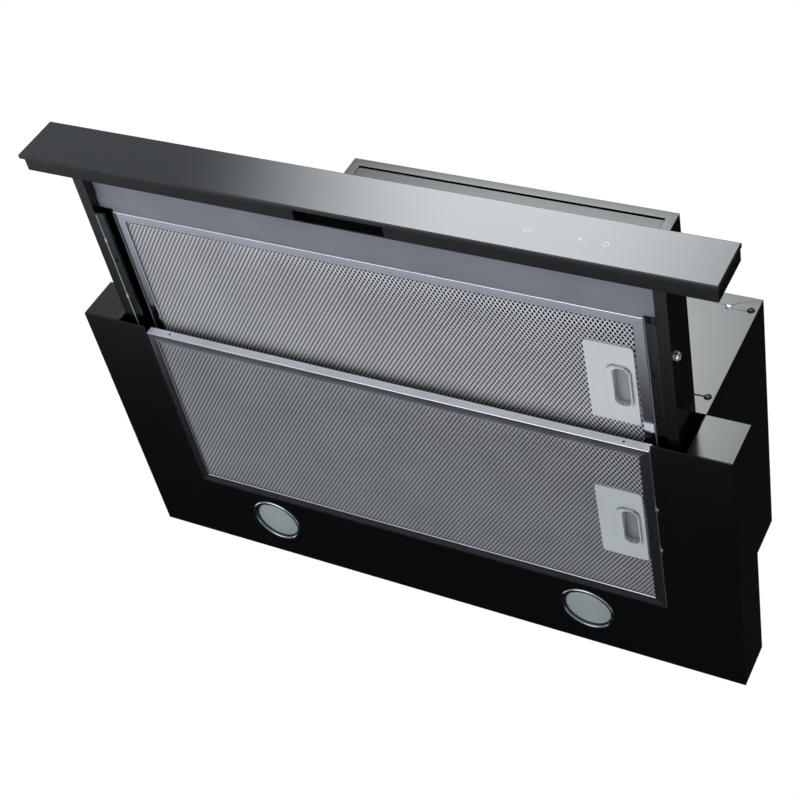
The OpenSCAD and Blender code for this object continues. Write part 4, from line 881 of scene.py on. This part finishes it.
    def _lattice_tree(self) -> bpy.types.NodeTree:
        """Builds the tree that lays crossings over the filter's window and pillows them towards its edges.

        Returns:
            The tree, with its sizes as named inputs.
        """
        tree = bpy.data.node_groups.new(f"{self.place}_expanded_mesh", "GeometryNodeTree")
        for name, kind in (
                ("Crossing", "Object"), ("Count Across", "Int"), ("Count Deep", "Int"),
                ("Span Across", "Float"), ("Span Deep", "Float"), ("Half Pitch", "Vector"),
                ("Middle", "Vector"), ("Half Window", "Vector"), ("Part Middle", "Vector"),
                ("Part Half", "Vector"), ("Plate Middle", "Vector"), ("Plate Half", "Vector"),
                ("Pillow Rise", "Float"), ("Pillow Run", "Float"), ("Finish", "Material")):
            tree.interface.new_socket(name, in_out="INPUT", socket_type=f"NodeSocket{kind}")
        tree.interface.new_socket("Mesh", in_out="OUTPUT", socket_type="NodeSocketGeometry")
        given = add(tree, "NodeGroupInput").outputs
        even = add(tree, "GeometryNodeMeshGrid", links={
            "Vertices X": given["Count Across"], "Vertices Y": given["Count Deep"],
            "Size X": given["Span Across"], "Size Y": given["Span Deep"]})
        odd = add(tree, "GeometryNodeSetPosition", links={
            "Geometry": even.outputs["Mesh"], "Offset": given["Half Pitch"]})
        joined = add(tree, "GeometryNodeJoinGeometry")
        for grid in (even, odd):
            tree.links.new(grid.outputs[0], joined.inputs[0])
        placed = add(tree, "GeometryNodeSetPosition", links={
            "Geometry": joined.outputs[0], "Offset": given["Middle"]})
        window = add(tree, "GeometryNodeSeparateGeometry", {"domain": "POINT"}, {
            "Geometry": placed.outputs["Geometry"],
            "Selection": self._within(tree, given["Part Middle"], given["Part Half"])})
        holed = add(tree, "GeometryNodeSeparateGeometry", {"domain": "POINT"}, {
            "Geometry": window.outputs["Selection"],
            "Selection": self._within(tree, given["Plate Middle"], given["Plate Half"])})
        crossing = add(tree, "GeometryNodeObjectInfo", links={"Object": given["Crossing"]})
        laid = add(tree, "GeometryNodeInstanceOnPoints", links={
            "Points": holed.outputs["Inverted"], "Instance": crossing.outputs["Geometry"]})
        real = add(tree, "GeometryNodeRealizeInstances", links={"Geometry": laid.outputs["Instances"]})
        welded = add(tree, "GeometryNodeMergeByDistance", links={
            "Geometry": real.outputs[0], "Distance": self.weld * MM})
        pillowed = add(tree, "GeometryNodeSetPosition", links={
            "Geometry": welded.outputs["Geometry"], "Offset": self._pillow(tree, given)})
        smooth = add(tree, "GeometryNodeSetShadeSmooth", {"domain": "FACE"}, {
            "Geometry": pillowed.outputs["Geometry"], "Shade Smooth": True})
        turn = add(tree, "GeometryNodeInputMeshEdgeAngle")
        steep = add(tree, "ShaderNodeMath", {"operation": "GREATER_THAN"}, {
            0: turn.outputs["Unsigned Angle"], 1: math.radians(self.knuckle_deg)})
        rims = add(tree, "GeometryNodeSetShadeSmooth", {"domain": "EDGE"}, {
            "Geometry": smooth.outputs["Geometry"], "Shade Smooth": False, "Selection": steep.outputs[0]})
        dressed = add(tree, "GeometryNodeSetMaterial", links={
            "Geometry": rims.outputs["Geometry"], "Material": given["Finish"]})
        add(tree, "NodeGroupOutput", links={"Mesh": dressed.outputs["Geometry"]})
        return tree

    def _away(self, tree: bpy.types.NodeTree, middle: bpy.types.NodeSocket) -> bpy.types.NodeSocket:
        """Works out each point's distance from a middle along each axis, without its sign.

        Args:
            tree: the lattice's tree.
            middle: the socket of the middle.

        Returns:
            The socket of the three distances.
        """
        place = add(tree, "GeometryNodeInputPosition")
        away = add(tree, "ShaderNodeVectorMath", {"operation": "SUBTRACT"}, {0: place.outputs[0], 1: middle})
        return add(tree, "ShaderNodeVectorMath", {"operation": "ABSOLUTE"}, {0: away.outputs[0]}).outputs[0]

    def _within(self, tree: bpy.types.NodeTree, middle: bpy.types.NodeSocket,
                half: bpy.types.NodeSocket) -> bpy.types.NodeSocket:
        """Picks the points inside a box.

        Args:
            tree: the lattice's tree.
            middle: the socket of the box's middle.
            half: the socket of half its size.

        Returns:
            The socket of the choice.
        """
        # The compare node's two inputs for vectors, by number because every kind has the same names.
        vector_a, vector_b = 4, 5
        settings = {"data_type": "VECTOR", "mode": "ELEMENT", "operation": "LESS_THAN"}
        return add(tree, "FunctionNodeCompare", settings, {
            vector_a: self._away(tree, middle), vector_b: half}).outputs[0]

    def _pillow(self, tree: bpy.types.NodeTree, given: Any) -> bpy.types.NodeSocket:
        """Works out how each point moves: not at the window's edge, and by the whole pillow past its run.

        Args:
            tree: the lattice's tree.
            given: the tree's named inputs.

        Returns:
            The socket of the offset.
        """
        inward = add(tree, "ShaderNodeVectorMath", {"operation": "SUBTRACT"}, {
            0: given["Half Window"], 1: self._away(tree, given["Middle"])})
        parts = add(tree, "ShaderNodeSeparateXYZ", links={0: inward.outputs[0]})
        nearest = add(tree, "ShaderNodeMath", {"operation": "MINIMUM"}, {
            0: parts.outputs["X"], 1: parts.outputs["Y"]})
        rise = add(tree, "ShaderNodeMapRange", {"interpolation_type": "SMOOTHSTEP"}, {
            "Value": nearest.outputs[0], "From Max": given["Pillow Run"], "To Max": given["Pillow Rise"]})
        return add(tree, "ShaderNodeCombineXYZ", links={"Z": rise.outputs["Result"]}).outputs["Vector"]

    def _mesh(self) -> None:
        """Lays the outer mesh over the window in two halves, round the handle plate."""
        low, high, any_height = self.low, self.high, 1.0
        inset = self.border - self.mesh_tuck
        half = Vector((high.x - inset, (high.y - low.y) / 2 - inset, any_height))
        middle = Vector((0, (low.y + high.y) / 2, low.z + self.mesh_rise))
        pitch = Vector((self.pitch_x, self.pitch_y, 0))
        across, deep = (int(2 * half[axis] / pitch[axis]) + 1 for axis in (0, 1))
        plate_low, plate_high = box_mm(f"{self.place}_filter_handle")
        plate, plate_half = (plate_low + plate_high) / 2, (plate_high - plate_low) / 2
        lap = Vector((self.plate_lap, self.plate_lap, 0))
        plate.z, plate_half.z = middle.z, any_height
        crossing = linked("crossing", self._star())
        tree = self._lattice_tree()
        values = {
            "Crossing": crossing, "Count Across": across, "Count Deep": deep,
            "Span Across": (across - 1) * self.pitch_x * MM, "Span Deep": (deep - 1) * self.pitch_y * MM,
            "Half Pitch": pitch * MM / 2, "Middle": middle * MM, "Half Window": half * MM,
            "Plate Middle": plate * MM, "Plate Half": (plate_half - lap) * MM,
            "Pillow Rise": -self.pillow * MM, "Pillow Run": self.pillow_run * MM,
            "Finish": self.foil.material()}
        sockets = {item.name: item.identifier for item in tree.interface.items_tree if item.in_out == "INPUT"}
        # The halves part between two rows of crossings, so none is cut.
        seam = middle.y + self.pitch_y / 4
        for part, start, end in (("front", middle.y - half.y, seam), ("rear", seam, middle.y + half.y)):
            values["Part Middle"] = Vector((0, (start + end) / 2, middle.z)) * MM
            values["Part Half"] = Vector((half.x, (end - start) / 2, any_height)) * MM
            settings = {"node_group": tree} | {sockets[name]: value for name, value in values.items()}
            mesh = baked(bpy.data.meshes.new("points"), [("NODES", settings)])
            self.shop.piece(f"{self.place}_filter_lattice_{part}", mesh, [self.foil], self.frame_body,
                            "filter_mesh", [f"{self.place}_filter_mesh"])
        bpy.data.objects.remove(crossing)

    def _layers(self) -> None:
        """Makes the layers behind the outer mesh as one pad, cut out round the latch."""
        low, high = box_mm(f"{self.place}_filter_mesh")
        inset = Vector((self.layer_inset, self.layer_inset, 0))
        low, high = low + inset, high - inset
        low.z, high.z = self.low.z + self.layer_rise, self.high.z - self.layer_back
        form, tool = bmesh.new(), bmesh.new()
        block(form, low, high)
        bmesh.ops.bevel(form, geom=form.edges[:], offset=self.layer_radius, segments=2, affect="EDGES")
        through = 1.5 * (self.latch_high.z - self.latch_low.z)
        room = Vector((*self.latch_room, through))
        block(tool, self.latch_low - room, self.latch_high + room)
        self.shop.piece(f"{self.place}_filter_layers", cut(mesh_of(form), mesh_of(tool)), [SHADED_INNER_LAYERS],
                        self.frame_body, "filter_mesh", [f"{self.place}_filter_mesh"])


@dataclass
class BallSlides:
    """The telescopic slides on both sides of the tray."""

    shop: Workshop
    fold_radius: float = 0.2
    tab_height: float = 0.8
    tab_play: float = 0.05
    # The bead along the left slide's lower rim that carries the painted highlight: its radius, and how far
    # each end stays short of the slide's.
    rim: float = 0.4
    rim_short: float = 2.0
    rim_steps: int = 10

    def build(self) -> None:
        """Dresses the slides, with a painted highlight on the left one's rim and tabs."""
        shop = self.shop
        for side in ("left", "right"):
            shell = softened(shop.node(f"slide_moving_{side}"), self.fold_radius)
            low, high = box_mm(f"slide_moving_{side}")
            floor = low.z + self.tab_height
            # On the left slide, the tabs below the floor take the painted highlight.
            for face in shell.polygons:
                face.material_index = int(side == "left" and face.center.z < (floor - self.tab_play) * MM)
            shop.piece(f"slide_shell_{side}", shell, [ZINC_SLIDE, ZINC_HIGHLIGHT], "tray", "zinc_steel",
                       [f"slide_moving_{side}"])
            if side == "left":
                rim = bmesh.new()
                rod(rim, (low.x + self.rim, (low.y + high.y) / 2, floor), self.rim,
                    high.y - low.y - 2 * self.rim_short, self.rim_steps)
                shop.piece("slide_rim_left", shaded(mesh_of(rim)), [ZINC_HIGHLIGHT], "tray", "zinc_steel")
        shop.dress(ZINC_SLIDE, ["slide_fixed_left", "slide_fixed_right"])
        shop.dress(CHROME, ["ball_cage_left", "ball_cage_right"])


@dataclass
class Tray:
    """The sliding tray: arms, pan, cover and the rails that hold the upper filter."""

    shop: Workshop

    def build(self) -> None:
        """Rounds and dresses the tray's sheets."""
        shop = self.shop
        for name, radius, finish, slot in (
                ("arm_left", 0.35, POWDER_BLACK, "black_steel"),
                ("arm_right", 0.35, POWDER_BLACK, "black_steel"),
                ("tray_cover", 0.3, POWDER_BLACK, "black_steel"),
                ("tray_pan", 0.25, GREY_SHEET, "tray_sheet"),
                ("tray_side_rail_left", 0.2, GREY_SHEET, "tray_sheet"),
                ("tray_side_rail_right", 0.2, GREY_SHEET, "tray_sheet"),
                ("tray_rear_rail", 0.2, GREY_SHEET, "tray_sheet"),
                ("arm_screws", 0.25, CHROME, "chrome")):
            shop.piece(f"{name}_part", softened(shop.node(name), radius), [finish], "tray", slot, [name])


@dataclass
class FrontBar:
    """The handle bar: glass front, plastic body with its finger recess, and the touch keys' print."""

    shop: Workshop
    glass_radius: float = 0.25
    moulded_radius: float = 0.5
    # The glass's front lies back by the print's thickness and a little air.
    print_depth: float = 0.06
    print_air: float = 0.02
    key_xs: tuple[float, ...] = (150.0, 170.0, 190.0, 210.0)
    key_z: float = -23.5
    key_size: float = 6.0
    stroke: float = 0.7
    ring_steps: int = 20

    def build(self) -> None:
        """Builds the glass, the bar's body and the printed keys."""
        shop = self.shop
        glass = softened(shop.node("glass_fascia"), self.glass_radius)
        front, back = min(v.co.y for v in glass.vertices), self.print_depth + self.print_air
        for vertex in glass.vertices:
            if vertex.co.y < front + 1.2 * self.glass_radius * MM:
                vertex.co.y += back * MM
        for face in glass.polygons:
            face.material_index = 0 if face.normal.y < -0.5 else 1
        shop.piece("glass_front", glass, [ENAMELLED_GLASS, GROUND_EDGE], "tray", "fascia_glass",
                   ["glass_fascia"])
        shop.piece("bar_moulding", softened(shop.node("bar_body"), self.moulded_radius), [BLACK_ABS], "tray",
                   "bar_plastic", ["bar_body"])
        shop.dress(SOLDER_MASK, ["touch_board"])
        marks = (self._power(), self._less(), self._more(), self._lamp())
        for number, (x, mark) in enumerate(zip(self.key_xs, marks), start=1):
            form = bmesh.new()
            for line in mark:
                self._stroke(form, line, x, front / MM + back)
            shop.piece(f"touch_key_{number}", mesh_of(form), [KEY_PRINT], "tray", "white_plastic")

    def _stroke(self, form: bmesh.types.BMesh, line: Sequence[tuple[float, float]], x: float,
                y: float) -> None:
        """Draws one printed line as a thin closed ribbon on the glass.

        Args:
            form: the print's form.
            line: the line's points, in shares of half the key's size.
            x: the key's middle along the bar.
            y: the glass's front.
        """
        half, unit = self.stroke / 2, self.key_size / 2
        points = [Vector((px * unit, pz * unit)) for px, pz in line]
        left: list[Vector] = []
        right: list[Vector] = []
        closed = (points[0] - points[-1]).length < WELD
        if closed:
            points = points[:-1]
        count = len(points)
        for i, point in enumerate(points):
            before = points[(i - 1) % count] if closed or i > 0 else point
            after = points[(i + 1) % count] if closed or i < count - 1 else point
            along = (after - before).normalized()
            across = Vector((-along.y, along.x)) * half
            left.append(point + across)
            right.append(point - across)
        rows = []
        for depth in (0.0, -self.print_depth):
            rows.append([[form.verts.new((x + p.x, y + depth, self.key_z + p.y)) for p in edge]
                         for edge in (left, right)])
        (bl, br), (fl, fr) = rows
        for i in range(count if closed else count - 1):
            j = (i + 1) % count
            for quad in ((fl[i], fl[j], fr[j], fr[i]), (bl[i], br[i], br[j], bl[j]),
                         (fl[i], bl[i], bl[j], fl[j]), (fr[i], fr[j], br[j], br[i])):
                form.faces.new(quad)
        if not closed:
            for i in (0, count - 1):
                form.faces.new((fl[i], fr[i], br[i], bl[i]))

    def _power(self) -> list[list[tuple[float, float]]]:
        """Gives the mark for on and off: an open ring and a bar."""
        return [arc((0, 0), 0.85, 125, 415, self.ring_steps), [(0, 0.2), (0, 1.0)]]

    def _less(self) -> list[list[tuple[float, float]]]:
        """Gives the mark for a lower speed: one bar."""
        return [[(-0.75, 0), (0.75, 0)]]

    def _more(self) -> list[list[tuple[float, float]]]:
        """Gives the mark for a higher speed: a cross of two bars."""
        return [[(-0.75, 0), (0.75, 0)], [(0, 0.12), (0, 0.75)], [(0, -0.75), (0, -0.12)]]

    def _lamp(self) -> list[list[tuple[float, float]]]:
        """Gives the mark for the lamps: a bulb over its cap."""
        cap = [(-0.3, -0.52), (-0.3, -0.9), (0.3, -0.9), (0.3, -0.52)]
        return [arc((0, 0), 0.6, -60, 240, self.ring_steps), cap]


@dataclass(frozen=True)
class Panel:
    """One soft panel lamp that faces the object, given as the object sees it."""

    name: str
    # Degrees to the left of the front and above the horizon, and the distance from the frame's origin.
    azimuth: float
    elevation: float
    distance: float
    size: tuple[float, float]
    # How bright the panel looks, where 1 is white.
    radiance: float
    # How far it is moved in its own plane, to the right and up, and how far its right side is turned up.
    shift: tuple[float, float] = (0.0, 0.0)
    roll: float = 0.0


@dataclass
class Studio:
    """A pale floor, a graded key panel with two weak ones, and the camera at the photograph's angle."""

    key: Panel = Panel("key_panel", 24, 38, 2600, (1685, 1040), 9.9, shift=(117, -40), roll=18)
    under: Panel = Panel("under_panel", 40, -62, 1750, (1500, 1300), 2.2)
    side: Panel = Panel("side_panel", 106, -19, 2500, (1050, 900), 1.7)
    # Shares of the key panel's width and height between which it gives its full light.
    key_across: tuple[float, float] = (0.389, 0.504)
    key_upright: tuple[float, float] = (0.2, 0.76)
    key_tint: tuple[float, float, float, float] = (0.93, 0.98, 1.0, 1)
    # The world's light: plain, and as glossy surfaces see it behind and before the object, and low down.
    plain_level: float = 0.62
    rear_level: float = 0.012
    front_level: float = 0.6
    low_share: float = 0.17
    floor_z: float = -2200.0
    floor_size: float = 16000.0
    # The line behind which the floor is dark to glossy surfaces: how far behind the origin, and its slope.
    dark_edge: tuple[float, float] = (2115.0, -0.07)
    dark_level: float = 0.012
    # From where to where, past that line, each step towards the front changes the level, and by how much.
    steps: tuple[tuple[float, float, float], ...] = (
        (160.0, -230.0, 0.42), (-250.0, -700.0, 0.52), (-900.0, -1300.0, -0.6), (-1700.0, -2100.0, 0.6))
    camera_at: tuple[float, float, float] = (616.198, -1083.913, -833.855)
    camera_right: tuple[float, float, float] = (0.87628, 0.17760, 0.44788)
    camera_down: tuple[float, float, float] = (0.20968, 0.69638, -0.68636)
    camera_forward: tuple[float, float, float] = (-0.43379, 0.69536, 0.57298)
    lens_mm: float = 76.193
    sensor_mm: float = 36.0

    def build(self) -> None:
        """Builds the stage."""
        self._world()
        self._floor()
        self._graded(self._hung(self.key), self.key_across, self.key_upright)
        self._hung(self.under)
        self._hung(self.side)
        self._camera()

    def _seen(self, tree: bpy.types.NodeTree, names: Sequence[str]) -> bpy.types.NodeSocket:
        """Gives 1 for the named kinds of rays.

        Args:
            tree: the shader tree.
            names: the light path's outputs.

        Returns:
            A socket that is 1 where one of the outputs is 1.
        """
        path = add(tree, "ShaderNodeLightPath")
        total = path.outputs[names[0]]
        for name in names[1:]:
            total = add(tree, "ShaderNodeMath", {"operation": "MAXIMUM"}, {
                0: total, 1: path.outputs[name]}).outputs[0]
        return total

    def _world(self) -> None:
        """Makes the white backdrop and plain light all round, with a dark rear for glossy surfaces."""
        world = bpy.data.worlds.new("studio")
        bpy.context.scene.world = world
        world.use_nodes = True
        tree = world.node_tree
        tree.nodes.clear()
        way = add(tree, "ShaderNodeTexCoord")
        parts = add(tree, "ShaderNodeSeparateXYZ", links={0: way.outputs["Generated"]})
        front = add(tree, "ShaderNodeMapRange", {"interpolation_type": "SMOOTHSTEP"}, {
            "Value": parts.outputs["Y"], "From Min": 0.1, "From Max": -0.3,
            "To Min": self.rear_level, "To Max": self.front_level})
        high = add(tree, "ShaderNodeMapRange", {"interpolation_type": "SMOOTHSTEP"}, {
            "Value": parts.outputs["Z"], "From Max": 0.2, "To Min": self.low_share})
        level = add(tree, "ShaderNodeMath", {"operation": "MULTIPLY"}, {
            0: front.outputs["Result"], 1: high.outputs["Result"]})
        plain = add(tree, "ShaderNodeBackground", links={"Color": (1, 1, 1, 1), "Strength": self.plain_level})
        mirrored = add(tree, "ShaderNodeBackground", links={
            "Color": (0.94, 0.97, 1.0, 1), "Strength": level.outputs[0]})
        white = add(tree, "ShaderNodeBackground", links={"Color": (1, 1, 1, 1), "Strength": 1.0})
        glossy = add(tree, "ShaderNodeMixShader", links={
            0: self._seen(tree, ("Is Glossy Ray", "Is Transmission Ray")),
            1: plain.outputs[0], 2: mirrored.outputs[0]})
        seen = add(tree, "ShaderNodeMixShader", links={
            0: self._seen(tree, ("Is Camera Ray",)), 1: glossy.outputs[0], 2: white.outputs[0]})
        add(tree, "ShaderNodeOutputWorld", links={"Surface": seen.outputs[0]})

    def _floor(self) -> None:
        """Lays the pale floor, which glossy surfaces see dark far behind and in bright bands nearer by."""
        form = bmesh.new()
        bmesh.ops.create_grid(form, x_segments=1, y_segments=1, size=self.floor_size / 2)
        bmesh.ops.translate(form, verts=form.verts, vec=(0, 0, self.floor_z))
        floor = linked("floor", mesh_of(form))
        material = bpy.data.materials.new("pale_floor")
        material.use_nodes = True
        tree = material.node_tree
        tree.nodes.clear()
        place = add(tree, "ShaderNodeTexCoord")
        parts = add(tree, "ShaderNodeSeparateXYZ", links={0: place.outputs["Object"]})
        edge, slope = self.dark_edge
        lean = add(tree, "ShaderNodeMath", {"operation": "MULTIPLY_ADD"}, {
            0: parts.outputs["X"], 1: -slope, 2: parts.outputs["Y"]})
        level: bpy.types.NodeSocket | float = self.dark_level
        for start, end, rise in self.steps:
            step = add(tree, "ShaderNodeMapRange", {"interpolation_type": "SMOOTHSTEP"}, {
                "Value": lean.outputs[0], "From Min": (edge + start) * MM, "From Max": (edge + end) * MM,
                "To Max": rise})
            level = add(tree, "ShaderNodeMath", {"operation": "ADD"}, {
                0: step.outputs["Result"], 1: level}).outputs[0]
        cloth = add(tree, "ShaderNodeBsdfDiffuse", links={"Color": linear("#e4e4e4")})
        glow = add(tree, "ShaderNodeEmission", links={"Color": linear("#f4f6ff"), "Strength": 0.3})
        pale = add(tree, "ShaderNodeAddShader", links={0: cloth.outputs[0], 1: glow.outputs[0]})
        mirrored = add(tree, "ShaderNodeEmission", links={"Color": linear("#f2f4ff"), "Strength": level})
        mixed = add(tree, "ShaderNodeMixShader", links={
            0: self._seen(tree, ("Is Glossy Ray",)), 1: pale.outputs[0], 2: mirrored.outputs[0]})
        add(tree, "ShaderNodeOutputMaterial", links={"Surface": mixed.outputs[0]})
        floor.data.materials.append(material)
        floor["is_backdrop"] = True

    def _hung(self, panel: Panel) -> bpy.types.Object:
        """Hangs one soft panel.

        Args:
            panel: its place, size and light.

        Returns:
            The lamp.
        """
        lamp = bpy.data.lights.new(panel.name, "AREA")
        lamp.shape = "RECTANGLE"
        lamp.size, lamp.size_y = (side * MM for side in panel.size)
        lamp.energy = panel.radiance * math.pi * lamp.size * lamp.size_y
        hung = linked(panel.name, lamp)
        azimuth, elevation = math.radians(panel.azimuth), math.radians(panel.elevation)
        way = Vector((-math.sin(azimuth) * math.cos(elevation), -math.cos(azimuth) * math.cos(elevation),
                      math.sin(elevation)))
        turn = (-way).to_track_quat("-Z", "Y") @ Quaternion((0, 0, 1), math.radians(panel.roll))
        right, up = turn @ Vector((1, 0, 0)), turn @ Vector((0, 1, 0))
        hung.location = (way * panel.distance + right * panel.shift[0] + up * panel.shift[1]) * MM
        hung.rotation_mode = "QUATERNION"
        hung.rotation_quaternion = turn
        hung.visible_camera = False
        return hung

    def _graded(self, lamp: bpy.types.Object, across: tuple[float, float],
                upright: tuple[float, float]) -> None:
        """Fades a panel towards its edges, as the cloth of a large softbox does.

        Args:
            lamp: the panel.
            across: shares of its width, from the left, between which it is at its full light.
            upright: shares of its height, from below, between which it is at its full light.
        """
        data = lamp.data
        data.use_nodes = True
        tree = data.node_tree
        tree.nodes.clear()
        place = add(tree, "ShaderNodeNewGeometry")
        turn = lamp.rotation_quaternion
        strength: bpy.types.NodeSocket | float = 1.0
        for way, size, (start, end) in ((turn @ Vector((1, 0, 0)), data.size, across),
                                        (turn @ Vector((0, 1, 0)), data.size_y, upright)):
            middle = way.dot(lamp.location)
            along = add(tree, "ShaderNodeVectorMath", {"operation": "DOT_PRODUCT"}, {
                0: place.outputs["Position"], 1: way}).outputs["Value"]
            low, high = middle - size / 2, middle + size / 2
            rise = add(tree, "ShaderNodeMapRange", {"interpolation_type": "SMOOTHSTEP"}, {
                "Value": along, "From Min": low, "From Max": low + start * size})
            fall = add(tree, "ShaderNodeMapRange", {"interpolation_type": "SMOOTHSTEP"}, {
                "Value": along, "From Min": high, "From Max": low + end * size})
            for part in (rise, fall):
                strength = add(tree, "ShaderNodeMath", {"operation": "MULTIPLY"}, {
                    0: strength, 1: part.outputs["Result"]}).outputs[0]
        glow = add(tree, "ShaderNodeEmission", links={"Color": self.key_tint, "Strength": strength})
        add(tree, "ShaderNodeOutputLight", links={"Surface": glow.outputs[0]})

    def _camera(self) -> None:
        """Stands the camera where the photograph was taken from."""
        camera = bpy.data.cameras.new("camera")
        camera.lens, camera.sensor_width = self.lens_mm, self.sensor_mm
        camera.clip_start, camera.clip_end = 0.05, 60.0
        stand = linked("camera", camera)
        right, down, forward = (Vector(v) for v in (self.camera_right, self.camera_down, self.camera_forward))
        turn = Matrix((right, -down, -forward)).transposed()
        stand.matrix_world = Matrix.Translation(Vector(self.camera_at) * MM) @ turn.to_4x4()
        bpy.context.scene.camera = stand
        bpy.context.scene.view_settings.view_transform = "Standard"


def main() -> None:
    """Builds every sub-assembly in order."""
    logging.basicConfig(level=logging.INFO, format="%(name)s: %(message)s", stream=sys.stdout)
    shop = Workshop()
    FixedCase(shop).build()
    AirPath(shop).build()
    for side in ("left", "right"):
        Lamp(shop, side).build()
    GreaseFilter(shop, "upper", "tray", "upper_latch", FOIL, GREY_ABS, PAINTED_CUP_SHADE, roof_deg=0.05).build()
    # The lower filter's foil, plate and cup are painted darker, for the shade that it lies in.
    GreaseFilter(shop, "lower", "lower_filter", "lower_latch", SHADED_FOIL, SHADED_GREY_ABS, PAINTED_LOWER_CUP_SHADE,
                 roof_deg=-1.3).build()
    BallSlides(shop).build()
    Tray(shop).build()
    FrontBar(shop).build()
    shop.check_all_done()
    Studio().build()


if __name__ == "__main__":
    main()
